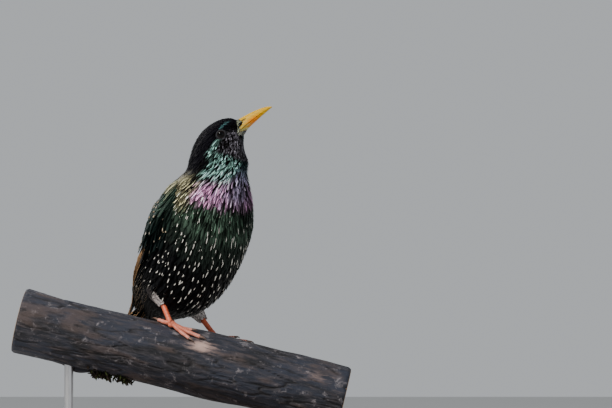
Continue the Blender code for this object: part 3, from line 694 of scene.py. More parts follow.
def body_coat(rng):
    """The small feathers of the whole body and head, in staggered rows from tail to bill."""
    roots = coat_roots(rng)
    s, angle = roots[:, 0], roots[:, 1]
    covered = wing_cover(s - 6.0, angle) > 0.5
    roots = roots[~(covered & (rng.uniform(0, 1, len(s)) < 0.7))]
    s, angle = roots[:, 0], roots[:, 1]
    length = LENGTH(s) * rng.uniform(0.88, 1.12, len(s))
    clear = ~bill_room(to_world(body_points(s, angle, np.full(len(s), -0.5))), 0.35)
    for back, lift, room in ((0.5, 0.0, EYE_ROOM), (1.0, 0.0, EYE_ROOM), (0.0, -0.5, EYE_ROOM - 0.1)):
        clear &= ~eye_room(to_world(body_points(s - back * length, angle, np.full(len(s), lift))), room)
    roots, length = roots[clear], length[clear]
    s, angle, row, column = roots.T
    n = len(s)
    seen = s - 0.8 * length
    colour, gloss = markings_sheen_and_shade(seen, angle)
    a = folded(angle)
    # Painted glints and shade: where throat and neck band are streaky, feathers are painted near black at
    # random as unlit ones and up to nearly twice as bright as glints; elsewhere the tone only differs a
    # little at random
    throat = smooth(seen, 112, 120) * smooth(a, 112, 85)
    streak = np.clip(throat + 0.8 * span(seen, 92, 102, 112, 122), 0, 1)
    dark = rng.uniform(0, 1, n)
    shade = 1 - streak * 0.94 * (dark < 0.44 + 0.20 * smooth(a, 66, 84)) + rng.uniform(-0.2, 0.2, n)
    shade = shade * np.where(streak > 0.3, 0.4 + 1.5 * rng.uniform(0, 1, n) ** 1.6, 1.0)
    spotted = (row % 2 == 0) & ((column + row // 2) % 2 == 0)
    share = 0.40 + 0.60 * smooth(seen, 102, 84) - 0.35 * smooth(seen, 60, 40)
    # Painted shade: fewer pale spots on the bird's left underside
    share = share - 0.25 * bump_at(angle, 158.0, 30.0)
    thinned = rng.uniform(0, 1, n) < share
    spot = spot_size(seen, angle) * np.where(spotted & thinned, rng.uniform(0.55, 1.35, n), 0.0)
    vent = smooth(s, 36, 16) * smooth(a, 50, 75)
    fringe = 0.14 * vent * (rng.uniform(0, 1, n) < 0.6)
    face = smooth(s, 140, 150)
    flare = smooth(seen, 112, 122) * smooth(a, 120, 80) * smooth(seen, 150, 138)
    lifted = 0.5 * flare * rng.uniform(0, 1, n) - 0.9 * bump_at(seen, 126.0, 14.0) * smooth(a, 92, 112)
    spec = {
        "length": length,
        "width": WIDTH(s) * rng.uniform(0.85, 1.15, n),
        "turn": rng.normal(0, 5.0, n) * (1 + 0.6 * flare),
        "low": (-COAT - 0.1) * (1 - 0.45 * face),
        "mid": -0.75 + 0.35 * face + rng.uniform(-0.2, 0.2, n) * (1 - 0.6 * face),
        "high": TIP_LIFT(s) + rng.uniform(-0.25, 0.35, n) * (1 - 0.7 * face) + lifted,
        "ridge": 0.10 + 0.03 * WIDTH(s),
        "ragged": np.full(n, 0.14),
        "bend": rng.normal(0, 0.05, n),
        "base": np.clip(colour * shade[:, None], 0.002, 0.95),
        "tip": blend(WHITE, BUFF, np.clip(vent * 0.9 + smooth(a, 120, 150) * 0.7, 0, 1)),
        "spot": spot,
        "fringe": fringe,
        "gloss": np.clip(gloss, 0, 1),
        "bake": bake_uv(s, angle),
    }
    pieces = []
    for name, start, end in COAT_PIECES:
        part = (s >= start) & (s < end)
        some = {key: value[part] for key, value in spec.items()}
        batch = feather_batch(body_place, roots[part, :2], LANCE, rng, **some)
        pieces.append(feathers(name, [batch], "plumage"))
    return pieces


def skin():
    """One closed skin for torso, neck and head, a coat's depth inside the outline."""
    grid_s, grid_a = np.meshgrid(np.linspace(0.0, BODY_END, 220), circle(144, 360.0), indexing="ij")
    lift = -COAT * (1 - 0.45 * smooth(grid_s, 140, 155))
    colour, gloss = markings_sheen_and_shade(grid_s, grid_a)
    values = {"base": colour * 0.35, "gloss": gloss * 0.3, "uv_OFBake": bake_uv(grid_s, grid_a)}
    layers = {key: ends_too(value) for key, value in values.items()}
    return *tube_arrays(to_world(body_points(grid_s, grid_a, lift))), layers


def thigh_path(side):
    """Four points from inside the flank to where the shank comes out of its tuft."""
    high = to_world(np.array(FEET[side][3]))
    low = foot_base(side)
    reach = FEET[side][4]
    start = high - 0.35 * (low - high) + np.array([0.0, 0.0, 5.0])
    out = np.array([0.0, -3.2 if side == "right" else 0.0, 0.0])
    knee = high + 0.55 * reach * (low - high)
    return np.array([start + out, high + out, knee + 0.5 * out, high + (low - high) * reach])


def perch_points(along, angle, lift):
    """Points on the branch: angle 0 is its top, 90 the side away from the camera."""
    along, angle = np.asarray(along, float), np.asarray(angle, float)
    near = half_turn(angle)
    r = PERCH_RADIUS + 0.5 * np.sin(along / 23.0 + 0.7) + 0.35 * np.sin(along / 11.0 + np.radians(near) * 2)
    r = r + 0.4 * np.sin(np.radians(near) * 3 + along / 37.0)
    knot = ((along + 66.0) / 9.0) ** 2 + ((near - 160.0) / 26.0) ** 2
    r = r + 4.5 * np.exp(-knot) + lift
    b, a = radians(PERCH_SLOPE), np.radians(angle)
    normal = np.array([sin(b), 0.0, cos(b)])
    out = np.cos(a)[..., None] * normal + np.sin(a)[..., None] * np.array([0.0, 1.0, 0.0])
    return np.array([0.0, 0.0, PERCH_Z]) + along[..., None] * PERCH_AXIS + r[..., None] * out


def foot_base(side):
    """Where the shank meets the toes."""
    along, round_, _, _, _ = FEET[side]
    return perch_points(along, round_, 2.5)


def path_sides(path, upright=(1.0, 0.0, 0.2)):
    """Two directions square to a path at each of its points."""
    tangent = unit(np.gradient(path, axis=0))
    side = unit(np.cross(tangent, np.array(upright)))
    return side, np.cross(side, tangent)


def tube_rings(path, radii, columns, **upright):
    """Rings round a path that keep one way up."""
    side, up = path_sides(path, **upright)
    a = circle(columns)
    radii = np.asarray(radii, float)
    if radii.ndim == 1:
        radii = np.repeat(radii[:, None], columns, axis=1)
    out = np.cos(a)[None, :, None] * side[:, None, :] + np.sin(a)[None, :, None] * up[:, None, :]
    return path[:, None, :] + radii[..., None] * out


def resampled(path, values, count):
    """A smooth path of this many points through the given ones, with values that follow it."""
    fine = np.linspace(0, len(path) - 1, count)
    i = np.clip(fine.astype(int), 0, len(path) - 2)
    line = on_curve(path, np.gradient(path, axis=0), i, (fine - i)[:, None])
    return line, np.interp(fine, np.arange(len(path)), values)


def lids(rows=96, around=14):
    """The bare rim of each eye, beaded like fine scales."""
    parts = []
    a, b = circle(rows), circle(around)
    thick = LID_THICK * (1 + 0.16 * np.sin(a * 24))[:, None] * np.ones(around)
    for sign in (-1, 1):
        centre, outward, across = eye_axes(sign)
        spoke = np.cos(a)[:, None] * 1.06 * across + np.sin(a)[:, None] * 0.96 * HEAD_UP
        big = LID_RING + thick * np.cos(b)
        ring = centre + LID_OUT * outward
        ring = ring + big[..., None] * spoke[:, None, :] + (thick * np.sin(b))[..., None] * outward
        points = to_world(ring).reshape(-1, 3)
        faces = grid_faces(rows + 1, around, True) % len(points)
        look = even(len(points), base=LID_GREY, gloss=0.3, uv_OFBake=bake_uv(149.0, 90.0 * sign))
        parts.append((points, faces, look))
    return parts


def thighs():
    """The bare thighs under their feathers."""
    parts = []
    for side, across in (("right", 0.2), ("left", 0.8)):
        points, faces = tube_arrays(tube_rings(*resampled(thigh_path(side), (7.2, 6.2, 4.2, 2.6), 24), 36))
        parts.append((points, faces, even(len(points), base=THIGH_SKIN, gloss=0.1, uv_OFBake=(across, 0.2))))
    return parts


def whole_skin():
    """Skin, lids and thighs in one piece."""
    return solid("skin", [skin(), *lids(), *thighs()], "plumage", "torso", "neck", "head")


# Bill and eyes


def bill_rows(count):
    """The bill's stations on a smooth curve, closest near its point."""
    rows = np.array(BILL)
    coarse = np.linspace(rows[0, 0], BILL_FINE_FROM, count - 8)
    along = np.concatenate([coarse, np.linspace(BILL_FINE_FROM, rows[-1, 0], 9)[1:]])
    slope = np.gradient(rows, rows[:, 0], axis=0)
    i = np.clip(np.searchsorted(rows[:, 0], along, side="right") - 1, 0, len(rows) - 2)
    h = (rows[i + 1, 0] - rows[i, 0])[:, None]
    q = on_curve(rows, slope, i, (along - rows[i, 0])[:, None] / h, h)
    q[:, 0] = along
    return q


def nostril(along, out, high, half, tall):
    """1 in the nostril of the upper half, and 0 a little outside it."""
    x, y = (along - NOSTRIL[0]) / half, (high - NOSTRIL[1]) / tall
    return np.where(np.abs(out) > 0.8, np.exp(-((x**2 + y**2) ** 2)), 0.0)


def mandible(part):
    """Upper or lower half of the bill, with its ridge, cutting edge and nostril."""
    rows = bill_rows(110)
    a = pi * np.arange(49) / 48
    along = rows[:, 0][:, None]
    wide, top, mouth, keel = (rows[:, k][:, None] for k in (1, 2, 3, 4))
    sign, across, upward, share, inner, arch = BILL_HALVES[part]
    edge_line = mouth + sign * MOUTH_GAP
    out = sign * np.sign(np.cos(a)) * np.abs(np.cos(a)) ** across * wide * share
    high = edge_line + ((top if part == "upper" else keel) - edge_line) * np.sin(a) ** upward
    if part == "upper":
        groove = np.exp(-(((along - 21.5) / 4.2) ** 2 + ((high - 2.4) / 1.3) ** 2))
        dent = 0.75 * nostril(along, out, high, 2.0, 0.62) + np.where(np.abs(out) > 0.8, 0.25 * groove, 0.0)
        out = out - np.sign(out) * dent
    edge = np.linspace(sign, -sign, 13)[1:-1]
    out = np.concatenate([out, -edge * wide * inner], 1)
    high = np.concatenate([high, edge_line + arch * (1 - edge**2) * np.minimum(1.0, wide / 3)], 1)
    along = np.broadcast_to(along, out.shape)
    f = np.clip((along - 19.0) / 25.0, 0, 1)
    height = (high - keel) / np.maximum(top - keel, 0.2)
    base = smooth(f, 0.44, 0.08) * (0.55 + 0.45 * np.sin(high * 3.1 + along * 0.5))
    # Orange painted shade on the lower part of the bill, over the middle of its length
    colour = blend(BILL_YELLOW, BILL_SHADE_ORANGE, 0.8 * bump_at(f, 0.40, 0.36) * smooth(height, 0.62, 0.25))
    colour = blend(colour, BILL_HORN, smooth(f, 0.86, 1.0) * 0.55)
    colour = blend(colour, BILL_PALE, base * (1.0 if part == "lower" else 0.6) * smooth(height, 0.9, 0.4))
    if part == "upper":
        colour = blend(colour, NOSTRIL_DARK, nostril(along, out, high, 1.7, 0.5))
    wear = 1 + 0.06 * np.sin(along * 1.7 + high * 2.1)
    layers = {"base": ends_too(np.clip(colour * wear[..., None], 0, 1))}
    rings = to_world(head_point(along, out, high))
    return solid("bill_" + part + "_horn", [(*tube_arrays(rings), layers)], "bill_horn", "bill_" + part)


def bill_feathers(rng):
    """Short feathers that creep over the base of the bill, furthest at the chin and beside the nostril."""
    limit = curve(zip((0, 35, 62, 80, 96, 120, 150, 180), (21.0, 22.2, 23.6, 20.6, 18.6, 20.6, 22.4, 23.0)))
    found = []
    for row, at in enumerate(np.arange(14.0, 24.6, 0.55)):
        for angle in np.arange(4.0 * (row % 2), 360.0, 8.0):
            if at < limit(from_back(angle)) + rng.uniform(-0.9, 0.4):
                found.append((at + rng.uniform(-0.2, 0.2), angle + rng.uniform(-2.5, 2.5)))
    root = np.array(found)
    n = len(root)

    def on_bill(at, angle, run, off, lift):
        along = at - run
        wide, top, mouth, keel = bill_at(along)
        a = np.radians(angle) + off / np.maximum(wide, 2.0)
        c, d = np.cos(a), np.sin(a)
        reach = np.where(c > 0, top - mouth, mouth - keel) + lift
        height = mouth + np.sign(c) * np.abs(c) ** 0.88 * reach
        return to_world(head_point(along, np.sign(d) * np.abs(d) ** 0.92 * (wide + lift), height))

    a = from_back(root[:, 1])
    pale = smooth(root[:, 0], 17, 20) * (rng.uniform(0, 1, n) < 0.5) * (0.35 + 0.4 * smooth(a, 40, 80))
    colour = blend(blend(BLACK * 2, MAUVE, smooth(a, 70, 100)), LORE_PALE, pale)
    look = {
        "length": rng.uniform(2.8, 4.2, n),
        "width": rng.uniform(0.6, 0.9, n),
        "turn": rng.normal(0, 7, n),
        "low": -0.15,
        "mid": 0.32,
        "high": 0.42 + rng.uniform(0, 0.25, n),
        "ridge": 0.08,
        "bend": rng.normal(0, 0.06, n),
        "base": np.clip(colour * rng.uniform(0.5, 1.5, (n, 1)), 0, 1),
        "tip": WHITE,
        "gloss": 0.2,
        "bake": bake_uv(163.0 - (24.6 - root[:, 0]) * 0.3, root[:, 1]),
    }
    batch = feather_batch(on_bill, root, LANCE, rng, **look)
    return feathers("bill_feathers", [batch], "plumage")


def eyeball(name, sign):
    """Dark brown iris round a wide pupil, under a clear bulging front."""
    rows, columns = 60, 96
    centre, outward, across = eye_axes(sign)
    up = np.cross(outward, across)
    lat = pi * (np.arange(rows) + 0.5) / rows
    lon = circle(columns)
    r = EYE_RADIUS * (1 + 0.03 * np.exp(-((lat / 0.55) ** 2)))
    spoke = np.cos(lon)[None, :, None] * across + np.sin(lon)[None, :, None] * up
    ring = np.sin(lat)[:, None, None] * spoke
    ring = (ring + np.cos(lat)[:, None, None] * outward) * (r - 0.02)[:, None, None]
    f = np.broadcast_to(np.sin(lat)[:, None], (rows, columns)) * np.where(np.cos(lat) > 0, 1, 9)[:, None]
    spokes = 1 + 0.25 * np.sin(lon * 31) * np.ones((rows, 1))
    colour = blend(IRIS * spokes[..., None], PUPIL, smooth(f, 0.46, 0.40))
    colour = blend(colour, EYE_RIM, smooth(f, 0.70, 0.80))
    part = (*tube_arrays(to_world(centre + ring)), {"base": ends_too(colour)})
    return solid("eyeball_" + name, [part], "eye_dark", "eye_" + name)


# Legs and feet


def toe_path(side, turn, length, radius, claw):
    """Line and radii of one toe and of its claw, laid round the branch."""
    along, round_, heading, _, _ = FEET[side]
    a = radians(heading + (turn if side == "right" else -turn))

    def on_bark(d, lift):
        return perch_points(along + d * cos(a), round_ + np.degrees(d * sin(a) / PERCH_RADIUS), lift)

    f = np.linspace(0, 1, 8)
    r = radius * (1.08 - 0.28 * f)
    path = on_bark(f * length, r + 0.35 + np.where(np.arange(8) < 4, 2.3 * (1 - f) ** 3, 0.0))
    g = np.linspace(0, 1, 6)
    thick = 0.95 * (1 - g) + 0.10
    high = 1.35 + 0.9 * np.sin(g * 2.3) * (1 - 0.45 * g) - 1.15 * g**2 + 0.3 * g
    nail = on_bark(length - 0.8 + claw * np.sin(g * 1.35) * 0.95, np.maximum(high, thick + 0.35))
    return path, r, nail, thick


def scaled_tube(path, radii, columns, rings_per_mm, scute, depth, pads=0.0):
    """A shank or toe with overlapping scutes in front and swollen pads beneath."""
    length = np.linalg.norm(np.diff(path, axis=0), axis=1).sum()
    count = int(max(24, length * rings_per_mm))
    line, r = resampled(path, radii, count)
    d = np.linspace(0, length, count)
    saw = (d / scute) % 1.0
    a = circle(columns)
    front = np.clip(np.sin(a), 0, 1)[None, :] ** 0.5
    step = depth * (saw[:, None] ** 1.5 - 0.5) * front
    grain = 0.35 * depth * np.sin(a * 7)[None, :] * np.sin(TURN * d / scute * 2)[:, None] * (1 - front)
    swell = pads * np.cos(TURN * d / length * 3)[:, None] * (0.4 + 0.6 * np.clip(-np.sin(a), 0, 1)[None, :])
    return tube_rings(line, r[:, None] * (1 + step + grain + swell), columns, upright=LEG_UPRIGHT), saw


def leg_part(rings, root, end, saw=0.5):
    """One closed body whose colour runs from root to end, with a dark line at each scute's start."""
    rows, columns = rings.shape[:2]
    colour = blend(root, end, np.linspace(0, 1, rows))
    line = np.exp(-((np.broadcast_to(saw, rows) / 0.10) ** 2))
    colour = np.repeat((colour * (1 - 0.45 * line[:, None]))[:, None], columns, 1)
    return (*tube_arrays(rings), {"base": ends_too(colour)})


def foot(side):
    """Shank, joint and four toes on one piece, the claws on another."""
    high, low = to_world(np.array(FEET[side][3])), foot_base(side)
    path = high + (low - high) * np.array([0.0, 0.25, 0.5, 0.75, 0.92, 1.0])[:, None]
    rings, saw = scaled_tube(path, (2.3, 2.0, 1.78, 1.68, 1.82, 1.72), 40, 9, 2.3, 0.10)
    parts, nails = [leg_part(rings, LEG_RED, LEG_LOW, saw)], []
    f = np.linspace(-1, 1, 15)
    ball = low - f[:, None] * np.array([0.0, 0.0, 1.9])
    parts.append(leg_part(tube_rings(ball, 2.1 * np.sqrt(1.02 - f**2), 24), TOE_PINK, TOE_PINK))
    for turn, length, claw, radius in TOES:
        toe, radii, nail, thick = toe_path(side, turn, length, radius, claw)
        rings, saw = scaled_tube(toe, radii, 28, 10, 1.35, 0.12, 0.10)
        parts.append(leg_part(rings, TOE_PINK, TOE_END, saw))
        rings = tube_rings(*resampled(nail, thick * 0.92, 30), 20, upright=LEG_UPRIGHT)
        nails.append(leg_part(rings, CLAW_ROOT, CLAW_POINT))
    leg = solid("leg_" + side, parts, "leg_scales", "foot_" + side)
    return leg, solid("claws_" + side, nails, "leg_scales", "foot_" + side)


# Wings and tail


def outside(p, lift):
    """The points themselves, or moved outwards until they lie this far over the body."""
    last = 239
    centre, forward, side, up, size = body_rows(np.linspace(0, BODY_END, last + 1))
    gap = p[:, None, :] - centre[None]
    ahead = (gap * forward[None]).sum(-1)
    j = np.argmin(np.abs(ahead) + 0.05 * np.linalg.norm(gap, axis=-1), axis=1)
    i = np.arange(len(p))
    k = np.where(ahead[i, j] > 0, np.minimum(j + 1, last), np.maximum(j - 1, 0))
    cross = ahead[i, j] * ahead[i, k] < 0
    f = np.where(cross, ahead[i, j] / np.where(cross, ahead[i, j] - ahead[i, k], 1), 0)[:, None]
    c, side, up, size = (v[j] * (1 - f) + v[k] * f for v in (centre, side, up, size))
    x, y = ((p - c) * side).sum(-1), ((p - c) * up).sum(-1)
    depth = np.where(y > 0, size[:, 1], size[:, 2]) + lift
    r = np.sqrt((x / (size[:, 0] + lift)) ** 2 + (y / depth) ** 2)
    beyond = ((j == 0) | (j == last)) & (np.abs(ahead[i, j]) > 0.7)
    inside = (r < 1) & (r > 0.05) & ~beyond
    push = np.where(inside, 1 / np.maximum(r, 0.05) - 1, 0)[:, None]
    return p + push * (x[:, None] * side + y[:, None] * up)


def sheet(a, t):
    """The right folded wing's under surface, as in the solids."""
    a, t = np.ravel(a).astype(float), np.ravel(t).astype(float)
    wrist, tip = np.array(WRIST), np.array(WING_TIP)
    chord = unit(tip - wrist)
    cross = np.array([-0.45, 0.62, 0.64])
    cross = unit(cross - (cross @ chord) * chord)
    flat = wrist + a[:, None] * chord + (t - WING_AXIS)[:, None] * cross
    s = WING_START[0] + WING_TURN[0] * a
    angle = WING_START[1] + WING_TURN[1] * a
    size = body_rows(s)[4]
    half = (size[:, 0] + size[:, 1]) / 2 + 2
    bent = body_points(s, angle + np.degrees((t - WING_AXIS) / half), WING_LIFT)
    q = smooth(a, 62.0, 100.0)[:, None]
    q = np.where((s < 2.0)[:, None], 1.0, q)
    mixed = outside(bent * (1 - q) + flat * q, WING_LIFT)
    return np.where(q == 0, bent, mixed)


SHEET_A = np.arange(-14.0, 122.0, 1.0)
SHEET_T = np.arange(-10.0, 52.0, 1.0)
GRID_A, GRID_T = np.meshgrid(SHEET_A, SHEET_T, indexing="ij")
SHEET = sheet(GRID_A, GRID_T).reshape(*GRID_A.shape, 3)
# The wing tips close in over the root of the tail
SHEET[..., 1] *= 1 - 0.35 * smooth(GRID_A, 78.0, 112.0)
SHEET[..., 2] -= 4.0 * smooth(GRID_A, 78.0, 112.0)
SHEET_NORMAL = unit(np.cross(np.gradient(SHEET, axis=1), np.gradient(SHEET, axis=0)))


def on_sheet(a, t, h):
    """Points this high over the wing's under surface, read between the grid's points."""
    a = np.clip(a, SHEET_A[0], SHEET_A[-1] - 0.01) - SHEET_A[0]
    t = np.clip(t, SHEET_T[0], SHEET_T[-1] - 0.01) - SHEET_T[0]
    i, k = a.astype(int), t.astype(int)
    f, g = (a - i)[..., None], (t - k)[..., None]

    def read(grid):
        near = (grid[i, k] * (1 - f) + grid[i + 1, k] * f) * (1 - g)
        return near + (grid[i, k + 1] * (1 - f) + grid[i + 1, k + 1] * f) * g

    return read(SHEET) + h[..., None] * unit(read(SHEET_NORMAL))


VANE_ROWS = np.array([0.0, 0.06, 0.14, 0.24, 0.35, 0.46, 0.57, 0.67, 0.76, 0.84, 0.9, 0.945, 0.975, 0.992])
VANE_SIDES = np.array([-1.0, -0.72, -0.38, -0.08, 0.0, 0.08, 0.38, 0.72, 1.0])


def stiff_vane(place_at, ends, halves, heights, tilt, profile, colours, rng, thick=0.28, bow_mm=0.0):
    """One flight feather: a thin plate with a raised shaft, rounded tip and slightly uneven edges.

    The halves are its outer and inner width. The tilt is one angle, or one at the root and one at the
    tip. The colours may ask with "plain_tip" that the pale fringe ends before the tip.
    """
    tilt, tip_tilt = np.tan(np.radians(np.broadcast_to(tilt, 2)))
    root, tip = np.array(ends, float)
    along = tip - root
    across = np.array([-along[1], along[0]]) / np.linalg.norm(along)
    share = np.interp(VANE_ROWS, *profile)
    side, f = VANE_SIDES[None, :], VANE_ROWS[:, None]
    wobble = 1 + 0.03 * rng.uniform(-1, 1, (len(VANE_ROWS), 1)) * (np.abs(side) > 0.9)
    x = side * np.where(side < 0, halves[1], halves[0]) * share[:, None] * wobble
    spot = root[None, None, :] + f[..., None] * along + (x + bow_mm * np.sin(pi * f))[..., None] * across
    h = np.interp(f, (0.0, 0.4, 0.85), heights)
    h = h - x * (tilt + (tip_tilt - tilt) * smooth(f, 0.45, 0.85)) + 0.12 * (1 - side**2)
    shaft = 0.22 * (np.abs(side) < 0.05) * (1 - f)
    top = place_at(spot[..., 0], spot[..., 1], h + shaft + thick / 2)
    low = place_at(spot[..., 0], spot[..., 1], h - thick / 2)
    points, faces = tube_arrays(np.concatenate([top, low[:, ::-1]], 1))
    both = np.concatenate([side, side[:, ::-1]], 1)
    uv = ends_too(np.stack(np.broadcast_arrays((both + 1) / 2, f), -1))
    colours = dict(colours)
    layers = {"uv_Vane": uv, "uv_OFBake": colours.pop("bake") + (uv - 0.5) * np.array([0.02, 0.10])}
    if colours.pop("plain_tip", False):
        colours["fringe"] = colours["fringe"] * smooth(uv[:, 1], 0.9, 0.6)
    for key, value in colours.items():
        size = (len(points), 3) if key in ("base", "tip") else len(points)
        layers[key] = np.broadcast_to(value, size)
    return points, faces, layers


def vane_colours(rng, body, base, tip, fringe, **rest):
    """Colours of one flight feather; base, tip and fringe are ranges to draw from."""
    base, tip, fringe = (rng.uniform(*drawn) for drawn in (base, tip, fringe))
    return {"base": body * base, "tip": TAN * tip, "fringe": fringe, **rest}


# Outlines of flight feathers: places along them, and the share of the half width there
ROUND_TIP = ((0.0, 0.1, 0.35, 0.7, 0.9, 0.96, 0.992), (0.35, 0.7, 0.95, 1.0, 0.82, 0.6, 0.22))
POINTED = ((0.0, 0.1, 0.3, 0.6, 0.8, 0.92, 0.975, 0.992), (0.35, 0.7, 0.95, 1.0, 0.88, 0.66, 0.4, 0.16))
BROAD = ((0.0, 0.15, 0.45, 0.8, 0.92, 0.97, 0.992), (0.4, 0.8, 1.0, 1.0, 0.85, 0.62, 0.3))
# Tilt of the wing's vanes in degrees, of the primaries' tips and of the coverts
VANE_TILT = 25
TIP_TILT = 13
COVERT_TILT = 24
# Primaries, secondaries and tertials: where they start, half width, outline
FLIGHT = ((14.0, 3.5, POINTED), (14.0, 3.9, ROUND_TIP), (22.0, 4.3, BROAD))
PRIMARIES = 9
TERTIALS = 15
# Two tiers of coverts: first place, count, pitch, start, reach, half width, height at the root and beyond
TIERS = ((3.2, 15, 2.15, 12.0, 42.0, 2.7, 2.2, 2.7), (3.0, 14, 2.25, 3.0, 24.5, 2.6, 2.6, 3.2))


def steps(*runs):
    """Evenly spaced places, one run after another: the first, the step and how many of each run."""
    return [first + step * i for first, step, count in runs for i in range(count)]


def shingle(places, base, tilt, spacing):
    """Heights of tilted vanes that lie on one another with this spacing."""
    a = radians(tilt)
    heights = [base]
    for before, here in zip(places, places[1:]):
        heights.append(heights[-1] + max(0.0, (spacing - (here - before) * sin(a)) / cos(a)))
    return heights


def wing_pieces(name, sign, rng):
    """One folded wing's flight feathers and two tiers of coverts, and how places on it turn into points."""

    def place_at(a, t, h):
        return to_world(on_sheet(a, t, h) * np.array([1.0, sign, 1.0]))

    parts = []
    roots = steps((3.0, 1.75, 9), (19.0, 2.1, 6), (31.5, 2.0, 3))
    tips = steps((9.0, 1.6, 9), (23.3, 1.4, 6), (33.0, 2.3, 3))
    low, middle = shingle(roots, 1.25, VANE_TILT, 0.85), shingle(tips, 0.95, VANE_TILT, 0.85)
    far = shingle(tips[:PRIMARIES], 0.95, TIP_TILT, 0.42) + middle[PRIMARIES:]
    side = 0.0 if sign > 0 else 0.5
    for i, (root, tip) in enumerate(zip(roots, tips)):
        start, half, shape = FLIGHT[(i >= PRIMARIES) + (i >= TERTIALS)]
        primary = i < PRIMARIES
        body = blend(BROWN, GLOSS_GREEN, 0.25 if primary else 0.7)
        look = {"spot": 0.0 if primary else 0.012, "plain_tip": primary, "gloss": 0.15}
        look["bake"] = (side + 0.04 + 0.023 * i, 0.10)
        colours = vane_colours(rng, body, (0.6, 1.2), (0.35, 1.0), (0.03, 0.085), **look)
        ends = ((start, root), (FLIGHT_TIPS[i], tip))
        halves, heights = (half, 0.96 * half), (low[i], middle[i], far[i])
        tilt = (VANE_TILT, TIP_TILT) if primary else VANE_TILT
        parts.append(stiff_vane(place_at, ends, halves, heights, tilt, shape, colours, rng, 0.4, -0.6))
    for tier, (first, count, pitch, start, reach, half, base, beyond) in enumerate(TIERS):
        for i in range(count):
            t = first + pitch * i
            high = beyond + 2.4 * (t - 3.0) / 28.0
            look = {"spot": 0.05, "gloss": 0.45, "bake": (side + 0.05 + 0.025 * i, 0.22 + 0.05 * tier)}
            body = blend(BROWN, GLOSS_GREEN, 0.8)
            colours = vane_colours(rng, body, (0.7, 1.25), (0.5, 1.0), (0.06, 0.11), **look)
            ends = ((start, t), (reach - 0.3 * i + rng.uniform(-0.5, 0.5), t + 1.5))
            shape = (half, half), (base, high, high), COVERT_TILT, BROAD
            parts.append(stiff_vane(place_at, ends, *shape, colours, rng, 0.24))
    return feathers("flight_" + name, parts, "wing_feathers", "wing_" + name), place_at


def wing_arm(name, place_at):
    """The covered forearm that the wing's feathers grow from."""
    a = np.linspace(-7.5, 30.0, 60)
    at = (-7.5, -2, 5, 12, 20, 25, 30)
    low = np.interp(a, at, (9, 2, 0, 0, 0, 0.5, 3))
    high = np.interp(a, at, (11, 21, 30, 37, 41, 41, 39))
    tall = np.interp(a, at, (0.8, 3.2, 4.6, 4.8, 4.2, 2.8, 1.0))
    f = np.linspace(0, 1, 40)
    t = low[:, None] + f[None, :] * (high - low)[:, None]
    rim = np.sqrt(np.clip(np.minimum(4 * f, 4 * (1 - f)), 0, 1))
    top = place_at(np.broadcast_to(a[:, None], t.shape), t, 0.3 + (tall[:, None] - 0.3) * rim[None, :])
    under = place_at(np.broadcast_to(a[:, None], t.shape), t, np.full(t.shape, 0.1))
    points, faces = tube_arrays(np.concatenate([top, under[:, ::-1]], 1))
    layers = even(len(points), base=GLOSS_GREEN * 0.5, gloss=0.3, uv_OFBake=(0.5, 0.3))
    return solid("wing_arm_" + name, [(points, faces, layers)], "wing_feathers", "wing_" + name)


def staggered(stations, row_at, step, shift, jitter, rng):
    """Roots in staggered rows; row_at gives each row's zero, and from where to where it runs."""
    found = []
    for row, at in enumerate(stations):
        zero, first, last = row_at(at)
        for k in np.arange(first, last, step):
            place = at + rng.uniform(-jitter[0], jitter[0])
            found.append((place, zero + k + shift * (row % 2) + rng.uniform(-jitter[1], jitter[1])))
    return np.array(found)


def wing_scales(name, sign, place_at, rng):
    """Lesser coverts: rows of small rounded feathers over the forearm."""
    at = (-7.5, -2, 5, 12)

    def row_at(a):
        return 0.0, np.interp(a, at, (8, 1, -1, -1)), np.interp(a, at, (13, 22, 32, 38))

    root = staggered(np.arange(-8.0, 12.0, 2.1), row_at, 2.3, 1.1, (0.5, 0.4), rng)
    n = len(root)
    over = np.interp(root[:, 0], at, (0.9, 3.0, 4.6, 4.9))
    u = (0.56 if sign < 0 else 0.06) + root[:, 1] / 110
    look = {
        "length": rng.uniform(7.5, 9.5, n),
        "width": rng.uniform(3.6, 4.4, n),
        "turn": rng.normal(4, 6, n),
        "low": over - 0.6,
        "mid": over + 0.5,
        "high": over + 1.0 + rng.uniform(0, 0.3, n),
        "ridge": 0.2,
        "ragged": 0.08,
        "bend": rng.normal(0, 0.03, n),
        "base": np.clip(blend(BROWN, GLOSS_GREEN, 0.9) * rng.uniform(0.8, 1.3, (n, 1)), 0, 1),
        "tip": TAN * rng.uniform(0.8, 1.2, (n, 1)),
        "spot": np.where(rng.uniform(0, 1, n) < 0.3, 0.08, 0.0),
        "gloss": 0.5,
        "bake": np.stack([u, 0.34 + (root[:, 0] + 8) / 600], 1),
    }

    def scale_place(a, t, run, off, lift):
        return place_at(a + run, t + off, lift)

    batch = feather_batch(scale_place, root, LEAF, rng, **look)
    return feathers("lesser_coverts_" + name, [batch], "wing_feathers", "wing_" + name)


def tail_axes():
    """The ways back, to the left and up from the tail's root."""
    back = -direction(-TAIL_PITCH, 0)
    up = unit(np.cross(np.array([0.0, 1.0, 0.0]), back)) * -1
    return back, np.array([0.0, 1.0, 0.0]), up if up[2] > 0 else -up


TAIL_BACK, TAIL_SIDE, TAIL_UP = tail_axes()


def tail_points(along, out, height):
    p = np.array(TAIL_ROOT) + along[..., None] * TAIL_BACK + out[..., None] * TAIL_SIDE
    return to_world(p + height[..., None] * TAIL_UP)


# Stations of the tail's root: along, half width, underside, top
TAIL_CORE = ((-2.0, 4.6, -4.0, -0.8), (3.0, 6.4, -4.8, -0.5), (6.0, 7.5, -5.2, 0.0), (12.0, 8.8, -5.6, 0.2))


